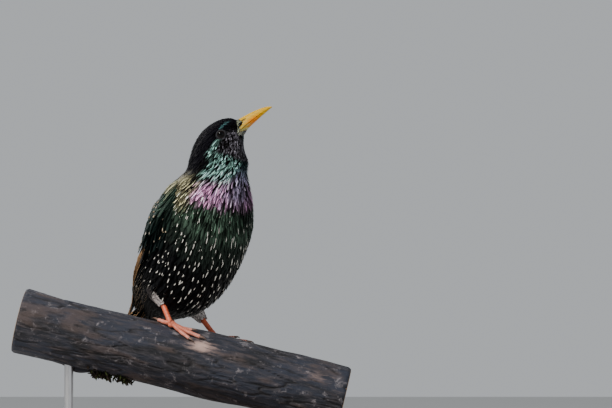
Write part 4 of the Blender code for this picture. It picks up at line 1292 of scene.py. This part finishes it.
def tail_feathers(rng):
    """Twelve tail feathers, the middle ones on top, and the fleshy root that they grow from."""
    parts = []
    for sign in (-1, 1):

        def place_at(along, out, height):
            return tail_points(along, out * sign, height)

        for i in range(6):
            out = 2.7 + 1.9 * i
            h = -0.36 * i - out * tan(radians(14))
            ends = ((-1.0, out * 0.6), (61.0 + 0.6 * i, out * (0.8 + 0.35 * i / 5)))
            halves = (3.9, min(3.9, out * 0.8 - 0.3))
            look = {"spot": 0.012, "gloss": 0.35, "bake": (0.5 + sign * (0.03 + 0.03 * i), 0.03)}
            body = blend(BROWN, GLOSS_GREEN, 0.45)
            colours = vane_colours(rng, body, (0.85, 1.2), (0.5, 1.0), (0.06, 0.12), **look)
            parts.append(stiff_vane(place_at, ends, halves, (h, h, h), 14, BROAD, colours, rng, bow_mm=0.4))
    core = []
    a = circle(24)
    for along, wide, low, high in TAIL_CORE:
        height = (low + high) / 2 + np.sin(a) * (high - low) / 2 - 1.2 * np.cos(a) ** 2 * (np.sin(a) > 0)
        core.append(tail_points(np.full(24, along), np.cos(a) * wide, height))
    points, faces = tube_arrays(core)
    look = {"base": GLOSS_GREEN * 0.5, "tip": TAN, "spot": 0.0, "fringe": 0.0, "gloss": 0.3}
    parts.append((points, faces, even(len(points), uv_Vane=(0.4, 0.4), uv_OFBake=(0.5, 0.03), **look)))
    return feathers("tail_feathers", parts, "wing_feathers", "tail")


def over_wing(s, angle, length):
    """Heights that clear the folded wing under a feather's root, middle and tip."""
    places = [s - f * length for f in (0.1, 0.55, 0.95)]
    return [np.maximum(wing_height(place, angle), wing_bed(place, angle)) for place in places]


def scapulars(rng):
    """Small loose feathers of mantle and shoulder that fall over the upper part of each folded wing."""

    def row_at(at):
        return 0.0, 6.0, np.interp(at, (72, 84, 104, 119), (84, 98, 98, 62))

    s, angle = staggered(np.arange(119.0, 72.0, -2.5), row_at, 4.7, 2.35, (1.0, 1.2), rng).T
    n = len(s)
    parts = []
    for sign in (-1, 1):
        here = (angle * sign) % 360.0
        length = np.interp(s, (72, 90, 119), (15, 14.5, 12)) * rng.uniform(0.88, 1.12, n)
        fluffed = 1.3 * bump_at(angle, 20.0, 16.0)
        low, middle, high = (height + fluffed for height in over_wing(s, here, length))
        colour = markings_sheen_and_shade(s - length, here)[0] * 0.9 + GLOSS_GREEN * 0.4
        look = {
            "length": length,
            "width": rng.uniform(3.7, 4.9, n),
            "turn": rng.normal(-2 * sign, 6, n),
            "low": low - 1.1,
            "mid": middle + 0.7,
            "high": high + rng.uniform(0.6, 1.5, n),
            "ragged": 0.18,
            "bend": rng.normal(0, 0.06, n),
            "base": np.clip(colour * rng.uniform(0.5, 1.4, (n, 1)), 0, 1),
            "tip": blend(blend(WHITE, BUFF * 1.2, rng.uniform(0, 0.8, n)), BUFF, 0.5 * smooth(s, 84, 108)),
            "spot": np.where(rng.uniform(0, 1, n) < 0.45, rng.uniform(0.08, 0.18, n), 0.0),
            "gloss": 0.35,
            "bake": bake_uv(s, here),
        }
        # These feathers have no fringe; its numbers are still drawn, so that the later ones stay the same
        rng.uniform(0, 1, n)
        parts.append(feather_batch(body_place, np.stack([s, here], 1), LEAF, rng, **look))
    return feathers("scapulars", parts, "plumage")


def flank_feathers(rng):
    """Feathers of the side that lie over the lower edge of each folded wing."""

    def row_at(at):
        edge = WING_START[1] + WING_TURN[1] * (WING_START[0] - at)
        return edge, -52.0, np.interp(at, (24, 60, 70), (-24.0, -22.0, -14.0))

    s, angle = staggered(np.arange(106.0, 24.0, -2.8), row_at, 5.0, 2.5, (1.2, 1.5), rng).T
    n = len(s)
    parts = []
    for sign in (-1, 1):
        here = (angle * -sign) % 360.0
        length = np.interp(s, (24, 60, 106), (16, 15, 12)) * rng.uniform(0.88, 1.12, n)
        low, middle, high = over_wing(s, here, length)
        colour, gloss = markings_sheen_and_shade(s - length, here)
        lower = smooth(s, 60, 36)
        look = {
            "length": length,
            "width": rng.uniform(4.2, 5.4, n),
            "turn": rng.normal(4, 5, n) * -sign,
            "low": low - 1.5,
            "mid": middle + 0.1,
            "high": high + rng.uniform(0.3, 0.9, n),
            "ragged": 0.16,
            "bend": rng.normal(0, 0.05, n),
            "base": np.clip(colour * rng.uniform(0.6, 1.3, (n, 1)), 0.002, 1),
            "tip": blend(WHITE, BUFF, lower * 0.7),
            "spot": np.where(rng.uniform(0, 1, n) < 0.30, rng.uniform(0.10, 0.19, n), 0.0),
            "fringe": 0.12 * lower,
            "gloss": gloss,
            "bake": bake_uv(s, here),
        }
        parts.append(feather_batch(body_place, np.stack([s, here], 1), LANCE, rng, **look))
    return feathers("flank_feathers", parts, "plumage")


def tail_coverts(rng):
    """Upper and under tail coverts, which run out from the rump and the vent over the tail's root."""
    parts = []
    count = 6
    for over, rows in ((1, 7), (-1, 8)):
        found = []
        for row in range(rows):
            at = -9.0 + 3.4 * row
            wide = 5.5 + 0.55 * (at + 9)
            base = (1.9 if over > 0 else -6.2) - 0.02 * at
            for k in range(count):
                x = -wide + 2 * wide * (k + 0.5 * (row % 2)) / count
                height = base - 0.10 * abs(x) * over - over * 0.10 * row
                place = at + rng.uniform(-1, 1), x + rng.uniform(-0.6, 0.6)
                found.append((*place, height, rng.uniform(15, 19), rng.uniform(4.6, 6.0)))
        along, out, height, length, width = np.array(found).T
        n = len(along)
        order = np.argsort(along)
        lean = 0.035 if over > 0 else 0.06

        def covert_place(a, x, run, off, lift):
            base = np.interp(a, along[order], height[order])
            return tail_points(a + run, x + off * over, base + over * lift - over * lean * run)

        look = {
            "length": length,
            "width": width,
            "turn": rng.normal(0, 5, n) + out * 0.8 * over,
            "low": -0.8,
            "mid": 0.2,
            "high": 0.5 + rng.uniform(0, 0.4, n),
            "base": blend(BROWN, GLOSS_GREEN, 0.7) * rng.uniform(0.7, 1.3, (n, 1)),
            "tip": TAN * rng.uniform(0.9, 1.3, (n, 1)),
            "spot": 0.10,
            "fringe": 0.16,
            "bake": np.stack([0.5 + out / 80 + 0.25 * over, 0.16 + along / 400], 1),
        }
        parts.append(feather_batch(covert_place, np.stack([along, out], 1), LEAF, rng, **look))
    return feathers("tail_coverts", parts, "plumage")


def thigh_feathers(rng):
    """Short soft feathers round each thigh, palest at the ankle."""
    parts = []
    for side in FEET:
        path, radii = resampled(thigh_path(side), (7.6, 6.6, 4.6, 2.9), 60)
        total = np.linalg.norm(np.diff(path, axis=0), axis=1).sum()
        across, up = path_sides(path)
        found = []
        d = 1.0
        row = 0
        while d < total - 1.0:
            r = np.interp(d, np.linspace(0, total, 60), radii)
            count = int(max(9, TURN * r / 1.5))
            for k in range(count):
                place = d + rng.uniform(-0.4, 0.4)
                found.append((place, 360.0 * (k + 0.5 * (row % 2)) / count + rng.uniform(-6, 6)))
            d += 1.5
            row += 1
        root = np.array(found)
        n = len(root)

        def thigh_place(at, angle, run, off, lift):
            f = np.clip((at + run) / total, 0, 1.12) * 59
            i = np.clip(f.astype(int), 0, 58)
            g = (f - i)[..., None]
            c = path[i] * (1 - g) + path[i + 1] * g
            r = np.maximum(radii[i] * (1 - g[..., 0]) + radii[i + 1] * g[..., 0], 1.2)
            a = np.radians(angle) + off / r
            out = np.cos(a)[..., None] * across[i] + np.sin(a)[..., None] * up[i]
            return c + (r + lift)[..., None] * out

        share = root[:, 0] / total
        pale = smooth(share, 0.20, 0.42)
        colour = blend(THIGH_DARK, THIGH_PALE, pale)
        u = (0.15 if side == "right" else 0.65) + root[:, 1] / 2400
        look = {
            "length": np.interp(share, (0, 0.6, 1), (8, 5.5, 3.2)) * rng.uniform(0.85, 1.15, n),
            "width": np.interp(share, (0, 1), (2.6, 1.3)),
            "turn": rng.normal(0, 8, n),
            "low": -0.5,
            "mid": 0.3,
            "high": 0.8 + rng.uniform(0, 0.4, n) - 0.5 * pale,
            "ridge": 0.12,
            "bend": rng.normal(0, 0.1, n),
            "base": np.clip(colour * rng.uniform(0.65, 1.3, (n, 1)), 0, 0.9),
            "tip": WHITE,
            "spot": np.where(rng.uniform(0, 1, n) < 0.25 * (1 - pale), 0.2, 0.0),
            "gloss": 0.1,
            "bake": np.stack([u, 0.19 + share * 0.03], 1),
        }
        parts.append(feather_batch(thigh_place, root, LANCE, rng, **look))
    return feathers("thigh_feathers", parts, "plumage")


# Perch and stand


def fractal(points, scale, octaves, seed):
    """Soft noise at each point, about -1 to 1."""
    offset = Vector((seed * 7.3, seed * 3.1, seed * 5.7))
    flat = points.reshape(-1, 3)
    found = np.array([noise.fractal(Vector(p) * scale + offset, 1.0, 2.0, octaves) for p in flat])
    return found.reshape(points.shape[:-1])


def branch():
    """A weathered branch with long cracks, plates of bark, a knot and sawn ends."""
    grid_l, grid_a = np.meshgrid(np.linspace(-PERCH_HALF, PERCH_HALF, 300), circle(200, 360.0), indexing="ij")
    turn = np.radians(grid_a)
    around = np.stack([grid_l * 0.22, np.cos(turn) * 21, np.sin(turn) * 21], -1)
    ridges = fractal(around, 0.16, 4, 1.0)
    plates = fractal(around * np.array([2.6, 1.0, 1.0]), 0.07, 3, 2.0)
    crack = np.abs(fractal(around * np.array([0.8, 1.0, 1.0]), 0.11, 3, 3.0))
    lift = 0.35 * ridges + 0.35 * plates - 0.9 * np.exp(-((crack / 0.05) ** 2))
    foot_mask = np.zeros_like(lift)
    for a, r, *_ in FEET.values():
        near = ((grid_l - a - 6) / 22) ** 2 + (half_turn(r - grid_a) / 50) ** 2
        foot_mask = np.maximum(foot_mask, np.exp(-(near**2)))
    lift = np.minimum(lift * (1 - 0.75 * foot_mask) - 0.15, 0.5)
    rim = smooth(np.abs(grid_l), PERCH_HALF - 0.1, PERCH_HALF - 2.0)
    points, faces = tube_arrays(perch_points(grid_l, grid_a, lift - 0.9 * (1 - rim) ** 2))
    values = {
        "tone": np.clip(0.5 + 0.6 * ridges + 0.4 * plates, 0, 1),
        "crack": np.exp(-((crack / 0.06) ** 2)),
        "patch": pale_patch(grid_l, grid_a),
        "cut": np.zeros_like(lift),
    }
    layers = {key: ends_too(value) for key, value in values.items()}
    return solid("branch", [(points, faces, layers), sawn_end(-1), sawn_end(1)], "bark", "perch")


def bark_shreds(rng):
    """Ragged shreds of bark and moss that hang from the underside, in two clumps."""
    n = 150
    along = np.where(rng.uniform(0, 1, n) < 0.6, rng.normal(-50.0, 3.2, n), rng.normal(-35.0, 2.8, n))
    angle = 184.0 + rng.normal(0, 9.0, n)

    def hanging(at, angle, run, off, lift):
        return perch_points(at + off + 0.3 * run, angle + 2.6 * lift, -0.5 + 0.85 * run)

    mossy = rng.uniform(0, 1, n) < 0.45
    colour = np.where(mossy[:, None], MOSS, SHRED)
    look = {
        "length": rng.uniform(1.5, 6.0, n) ** 1.05,
        "width": rng.uniform(0.7, 1.9, n),
        "turn": rng.normal(0, 28, n),
        "low": 0.0,
        "mid": rng.normal(0, 0.5, n),
        "high": rng.normal(0, 1.4, n),
        "ragged": 0.2,
        "bend": rng.normal(0, 0.25, n),
        "base": colour * rng.uniform(0.5, 2.2, (n, 1)),
        "tip": SHRED_TIP,
        "spot": np.where(rng.uniform(0, 1, n) < 0.3, 0.2, 0.0),
        "gloss": 0.02,
        "bake": np.stack([0.5 + along / 240, angle / 360], 1),
    }
    batch = feather_batch(hanging, np.stack([along, angle], 1), LEAF, rng, **look)
    return feathers("bark_shreds", [batch], "bark")


def pale_patch(along, angle):
    """Where the bark is rubbed pale, just below the near foot."""
    gap = half_turn(np.asarray(angle) + 56.0)
    patch = np.exp(-(((along - 11.0) / 10.0) ** 2 + (gap / 15.0) ** 2))
    far = 0.35 * np.exp(-(((along - 92.0) / 16.0) ** 2 + ((gap + 10.0) / 20.0) ** 2))
    return np.clip(patch + far, 0, 1)


def sawn_end(sign):
    """A slightly proud disc of sawn wood with a chamfer, inside the bark's rim."""
    angle = circle(120, 360.0)
    shares = (0.965, 0.96, 0.9, 0.7, 0.5, 0.3, 0.12, 0.03)
    depths = (-1.2, 0.0, 0.12, 0.15, 0.12, 0.15, 0.1, 0.1)
    full = perch_points(np.full_like(angle, sign * PERCH_HALF), angle, np.full_like(angle, -0.9))
    middle = full.mean(0)
    rings = [middle + (full - middle) * f + sign * (d + 0.25) * PERCH_AXIS for f, d in zip(shares, depths)]
    points, faces = tube_arrays(rings)
    return points, faces, even(len(points), tone=0.5, crack=0.0, patch=0.0, cut=1.0)


# Materials


class Value:
    """What a shader node gives; plus, minus and times on it add the nodes for them."""

    def __init__(self, surface, socket):
        self.surface, self.socket = surface, socket

    def __add__(self, other):
        return self.surface.calc("ADD", self, other)

    def __radd__(self, other):
        return self.surface.calc("ADD", other, self)

    def __sub__(self, other):
        return self.surface.calc("SUBTRACT", self, other)

    def __rsub__(self, other):
        return self.surface.calc("SUBTRACT", other, self)

    def __mul__(self, other):
        return self.surface.calc("MULTIPLY", self, other)


class Surface:
    """A new material, whose methods add nodes and give back their values."""

    def __init__(self, name):
        self.made = bpy.data.materials.new(name)
        self.made.use_nodes = True
        self.tree = self.made.node_tree

    def join(self, value, socket):
        if isinstance(value, Value):
            self.tree.links.new(value.socket, socket)
        else:
            socket.default_value = value

    def node(self, kind, inputs, output=0, **settings):
        """A new node's value; its inputs go by name or number."""
        node = self.tree.nodes.new("ShaderNode" + kind)
        for key, value in settings.items():
            setattr(node, key, value)
        for key, value in inputs.items():
            self.join(value, node.inputs[key])
        return Value(self, node.outputs[output])

    def calc(self, operation, a, b=0.0, clamp=False):
        return self.node("Math", {0: a, 1: b}, operation=operation, use_clamp=clamp)

    def mix(self, factor, a, b, kind="MIX"):
        a, b = (v if isinstance(v, Value) else (*v, 1.0) for v in (a, b))
        return self.node("Mix", {0: factor, 6: a, 7: b}, 2, data_type="RGBA", blend_type=kind)

    def toned(self, colour, factor, low, high):
        """The colour times one that runs from low to high."""
        return self.mix(1.0, colour, self.mix(factor, low, high), "MULTIPLY")

    def between(self, value, low, high):
        """0 below low, 1 above high."""
        return self.node("MapRange", {0: value, 1: low, 2: high}, interpolation_type="SMOOTHSTEP")

    def read(self, name, output="Fac"):
        """A colour or value that the mesh carries."""
        return self.node("Attribute", {}, output, attribute_name=name)

    def mapped(self, vector=None, **changes):
        """The object's own coordinates, or those given, moved, turned and scaled."""
        if vector is None:
            vector = self.node("TexCoord", {}, "Object")
        return self.node("Mapping", {"Vector": vector, **changes})

    def grain(self, vector, scale, detail=4.0, rough=0.55, distortion=0.0):
        names = ("Vector", "Scale", "Detail", "Roughness", "Distortion")
        return self.node("TexNoise", dict(zip(names, (vector, scale, detail, rough, distortion))))

    def raised(self, height, strength, distance, before=None):
        inputs = {"Height": height, "Strength": strength, "Distance": distance}
        if before is not None:
            inputs["Normal"] = before
        return self.node("Bump", inputs)

    def finish(self, colour, rough, normal=None, **others):
        """Sets the shader's own sockets and gives the material; others are named with _ for a space."""
        sockets = {"Base Color": colour, "Roughness": rough}
        if normal is not None:
            sockets["Normal"] = normal
        for key, value in others.items():
            sockets[key.replace("_", " ")] = value
        for key, value in sockets.items():
            self.join(value, self.tree.nodes["Principled BSDF"].inputs[key])
        return self.made


def grey(tone):
    return (tone, tone, tone)


# Slant of the barbs; how much a pale border curves, wavers with the barbs and softens; below that, none
BARB_SLANT = -0.28
SPOT_CURVE = 6.5
SPOT_WAVER = 0.006
SPOT_SOFT = (0.012, 0.022)
FRINGE_SOFT = (0.06, 0.03)
NO_MARK = 0.004


def feather_material(name, barbs, sheen):
    """Barbs run out from the shaft; the tip and the fringe are pale, and the rest is glossy, with painted
    shade towards the root and along the edges where the feathers overlap.
    """
    m = Surface(name)
    uv = m.node("UVMap", {}, uv_map="Vane")
    u, v = (m.node("SeparateXYZ", {0: uv}, k) for k in (0, 1))
    x = m.calc("ABSOLUTE", u - 0.5) * 2.0
    base, tip = m.read("base", "Color"), m.read("tip", "Color")
    spot, fringe, gloss = (m.read(key) for key in ("spot", "fringe", "gloss"))
    stripe = m.calc("SINE", (v * barbs + x * (barbs * BARB_SLANT)) * TURN)
    edge = 1.0 - spot * (1.0 - x * x * SPOT_CURVE) + stripe * SPOT_WAVER
    pale_tip = m.between(v, edge - SPOT_SOFT[0], edge + SPOT_SOFT[1]) * m.calc("GREATER_THAN", spot, NO_MARK)
    inner = 1.0 - fringe
    pale_edge = m.between(x, inner - FRINGE_SOFT[0], inner + FRINGE_SOFT[1])
    pale_edge = pale_edge * m.calc("GREATER_THAN", fringe, NO_MARK)
    pale = m.calc("MAXIMUM", pale_tip, pale_edge)
    cloud = m.grain(m.mapped(), 220.0, 3.0)
    # Painted shade towards the root, where the feathers above cover it, with a random cloud and the barbs'
    # stripes in the tone
    shade = (0.42 + m.between(v, 0.25, 0.95) * 0.58) * (0.72 + cloud * 0.56) * (0.93 + stripe * 0.07)
    body = m.mix(shade, m.mix(1.0, base, grey(0.5), "MULTIPLY"), base)
    # Painted shade along both edges, between neighbouring feathers
    rim = m.between(x, 0.45, 0.95) * 0.7
    body = m.mix(rim, body, m.mix(1.0, body, (0.22, 0.22, 0.24), "MULTIPLY"))
    shaft = 1.0 - m.between(x, 0.03, 0.09)
    colour = m.mix(shaft * 0.30, m.mix(pale, body, tip), (0.03, 0.025, 0.02))
    return m.finish(
        colour,
        m.calc("ADD", 0.56 + gloss * -0.20, pale * 0.2, clamp=True),
        m.raised(shaft, 0.4, 0.0001, m.raised(stripe, 0.35, 0.00006)),
        Metallic=m.calc("MULTIPLY", gloss, 1.0 - pale * 0.9, clamp=True),
        Specular_IOR_Level=sheen,
        Specular_Tint=(0.30, 0.30, 0.32, 1.0),
    )


def skin_material():
    """Dull skin of the lids, and of what the feathers of body, thighs and wings grow from."""
    m = Surface("skin_under_coat")
    fine = m.grain(m.mapped(), 1400.0)
    colour = m.toned(m.read("base", "Color"), fine, grey(0.45), grey(1.3))
    return m.finish(colour, 0.5 + fine * 0.3, m.raised(fine, 0.5, 0.0002), Specular_IOR_Level=0.12)


def horn_material():
    """The bill's horn, with faint streaks and a little light below its surface."""
    m = Surface("bill_horn_surface")
    growth = m.grain(m.mapped(), 900.0, 5.0, 0.6)
    streak = m.grain(m.mapped(), 260.0, 3.0)
    return m.finish(
        m.toned(m.read("base", "Color"), streak, (0.90, 0.84, 0.72), (1.16, 1.10, 1.0)),
        0.36 + growth * 0.22,
        m.raised(growth, 0.18, 0.0001),
        Specular_IOR_Level=0.14,
        Subsurface_Weight=0.08,
        Subsurface_Radius=(0.002, 0.0012, 0.0005),
        Subsurface_Scale=0.5,
    )


def eye_material():
    """A wet clear front over the iris."""
    m = Surface("eye_surface")
    colour = m.toned(m.read("base", "Color"), m.grain(m.mapped(), 2200.0, 3.0), grey(0.6), grey(1.3))
    coat = {"Coat_Weight": 0.12, "Coat_Roughness": 0.01, "Coat_IOR": 1.5}
    return m.finish(colour, 0.06, Specular_IOR_Level=0.05, **coat)


def leg_material(name, rough, strength):
    """Scales or claws with blotches and a fine grain."""
    m = Surface(name)
    fine = m.grain(m.mapped(), 1500.0, 4.0, 0.6)
    blotch = m.grain(m.mapped(), 300.0, 3.0)
    colour = m.toned(m.read("base", "Color"), blotch, (0.72, 0.62, 0.58), (1.18, 1.12, 1.08))
    colour = m.toned(colour, fine, grey(0.85), grey(1.12))
    return m.finish(colour, rough + fine * 0.2, m.raised(fine, strength, 0.00012))


def bark_material():
    """Dark bark with pale spots, warm ridges and a rubbed patch, and sawn wood with rings at the ends."""
    m = Surface("bark_surface")
    level = (0.0, -radians(PERCH_SLOPE), 0.0)
    long_way = m.mapped(m.mapped(Rotation=level), Scale=(0.22, 1.0, 1.0))
    fibres = m.grain(long_way, 420.0, 8.0, 0.62, 0.3)
    large = m.grain(long_way, 60.0, 5.0, 0.6, 0.6)
    spots = m.grain(m.mapped(), 150.0, 6.0, 0.7, 0.4)
    tone, crack, patch, cut = (m.read(key) for key in ("tone", "crack", "patch", "cut"))
    colour = m.mix(m.between(large, 0.36, 0.62), (0.004, 0.004, 0.0055), (0.017, 0.021, 0.035))
    lichen = patch * m.between(fibres + patch * 0.4, 0.55, 0.85)
    for share, tint in (
        (m.between(fibres, 0.42, 0.72), (0.046, 0.041, 0.047)),
        (m.between(spots, 0.55, 0.70) * 0.75, (0.21, 0.19, 0.20)),
        (m.between(tone, 0.55, 0.95) * 0.55, (0.068, 0.047, 0.041)),
        (lichen * 0.85, (0.48, 0.33, 0.28)),
        (crack * 0.85, (0.010, 0.009, 0.010)),
    ):
        colour = m.mix(share, colour, tint)
    centre = m.mapped(m.mapped(Location=(0.0, 0.0, -PERCH_Z * MM)), Rotation=level)
    rings = {"Vector": centre, "Scale": 150.0, "Distortion": 1.6, "Detail": 3.0}
    rings = m.node("TexWave", rings, "Fac", wave_type="RINGS", rings_direction="X")
    wood = m.mix(rings, (0.13, 0.075, 0.04), (0.36, 0.245, 0.15))
    wood = m.mix(m.between(spots, 0.45, 0.7), wood, (0.17, 0.115, 0.075))
    rough = m.calc("ADD", 0.62, fibres * 0.3, clamp=True)
    normal = m.raised(fibres + large * 0.7 + spots * 0.5, 0.85, 0.0016)
    return m.finish(m.mix(cut, colour, wood), rough, normal, Specular_IOR_Level=0.35)


def wood_material():
    """Dark varnished wood, with its grain along the base."""
    m = Surface("base_wood_surface")
    long_way = m.mapped(Scale=(0.12, 1.0, 1.0))
    fibres = m.grain(long_way, 260.0, 8.0, 0.6, 0.4)
    bands = m.grain(long_way, 45.0, 4.0, 0.55, 1.5)
    colour = m.mix(m.between(bands, 0.35, 0.65), (0.075, 0.036, 0.018), (0.16, 0.080, 0.038))
    colour = m.mix(m.between(fibres, 0.45, 0.75) * 0.6, colour, (0.045, 0.022, 0.012))
    normal = m.raised(fibres, 0.25, 0.0002)
    return m.finish(colour, 0.30 + fibres * 0.25, normal, Coat_Weight=0.25, Coat_Roughness=0.2)


def steel_material():
    """Steel brushed along the rod."""
    m = Surface("rod_steel_surface")
    brushed = m.grain(m.mapped(Scale=(1.0, 1.0, 0.04)), 2600.0, 3.0)
    colour = m.mix(brushed, (0.40, 0.40, 0.41), (0.60, 0.60, 0.61))
    return m.finish(colour, 0.26 + brushed * 0.18, m.raised(brushed, 0.12, 0.00005), Metallic=1.0)


def floor_material():
    m = Surface("studio_floor")
    soft = m.grain(m.mapped(), 2.0, 2.0)
    return m.finish(m.mix(soft, (0.60, 0.60, 0.59), (0.63, 0.63, 0.62)), 0.9)


def paint(obj, made):
    obj.data.materials.clear()
    obj.data.materials.append(made)


def paint_slots(obj, made):
    """Gives a carried-over node a better material in its own slots."""
    for held in obj.material_slots:
        held.material = made


# Studio


def area_light(name, location, size, power, colour):
    """A round soft light that looks at the model."""
    data = bpy.data.lights.new(name, "AREA")
    data.shape = "DISK"
    data.size = size
    data.energy = power
    data.color = colour
    obj = bpy.data.objects.new(name, data)
    obj.location = location
    bpy.context.scene.collection.objects.link(obj)
    obj.rotation_euler = (Vector(LIT) - obj.location).to_track_quat("-Z", "Y").to_euler()


def studio():
    """Floor, camera, three soft lights and a pale sky."""
    edge = np.linspace(-FLOOR_HALF, FLOOR_HALF, FLOOR_LINES)
    x, y = np.meshgrid(edge, edge + 2.0, indexing="ij")
    points = np.stack([x, y, np.zeros_like(x)], -1).reshape(-1, 3) / MM
    floor = build_mesh("floor", points, grid_faces(FLOOR_LINES, FLOOR_LINES, False))
    paint(floor, floor_material())
    data = bpy.data.cameras.new("camera")
    camera = bpy.data.objects.new("camera", data)
    e = radians(LOOK_UP)
    camera.location = (Vector(TARGET) - DISTANCE * Vector((0.0, cos(e), sin(e)))) * MM
    camera.rotation_euler = (radians(90.0 + LOOK_UP), 0.0, 0.0)
    data.sensor_width = FILM
    data.lens = FILM * PIXELS_PER_MM * DISTANCE / PICTURE_WIDTH
    data.clip_start = 0.05
    data.clip_end = 60.0
    bpy.context.scene.collection.objects.link(camera)
    bpy.context.scene.camera = camera
    for light in LIGHTS:
        area_light(*light)
    world = bpy.data.worlds.new("studio")
    world.use_nodes = True
    sky = world.node_tree.nodes["Background"]
    sky.inputs["Color"].default_value = SKY
    sky.inputs["Strength"].default_value = SKY_STRENGTH
    bpy.context.scene.world = world


def main():
    """Studio, then every piece with its material, then the stand's own nodes."""
    studio()
    rng = np.random.default_rng(SEED)
    plume = feather_material("plumage_feathers", barbs=26.0, sheen=0.12)
    vane = feather_material("wing_feather_vanes", barbs=70.0, sheen=0.1)
    skin_under = skin_material()
    paint(whole_skin(), skin_under)
    for piece in body_coat(rng):
        paint(piece, plume)
    for sign, name in ((1, "right"), (-1, "left")):
        flight, place_at = wing_pieces(name, sign, rng)
        paint(flight, vane)
        paint(wing_arm(name, place_at), skin_under)
        paint(wing_scales(name, sign, place_at, rng), plume)
    paint(tail_feathers(rng), vane)
    paint(scapulars(rng), plume)
    paint(flank_feathers(rng), plume)
    paint(tail_coverts(rng), plume)
    paint(thigh_feathers(rng), plume)
    paint(bill_feathers(rng), plume)
    horn = horn_material()
    for part in ("upper", "lower"):
        paint(mandible(part), horn)
    eye = eye_material()
    for name, sign in (("left", 1), ("right", -1)):
        paint(eyeball(name, sign), eye)
    shank = leg_material("leg_scale_surface", rough=0.38, strength=0.5)
    claw = leg_material("claw_surface", rough=0.22, strength=0.2)
    for side in FEET:
        leg, claws = foot(side)
        paint(leg, shank)
        paint(claws, claw)
    paint(branch(), bark_material())
    paint(bark_shreds(rng), plume)
    wood, steel = wood_material(), steel_material()
    for name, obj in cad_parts.items():
        if name == "stand_base":
            paint_slots(obj, wood)
        elif name.startswith("stand_rod"):
            paint_slots(obj, steel)


main()
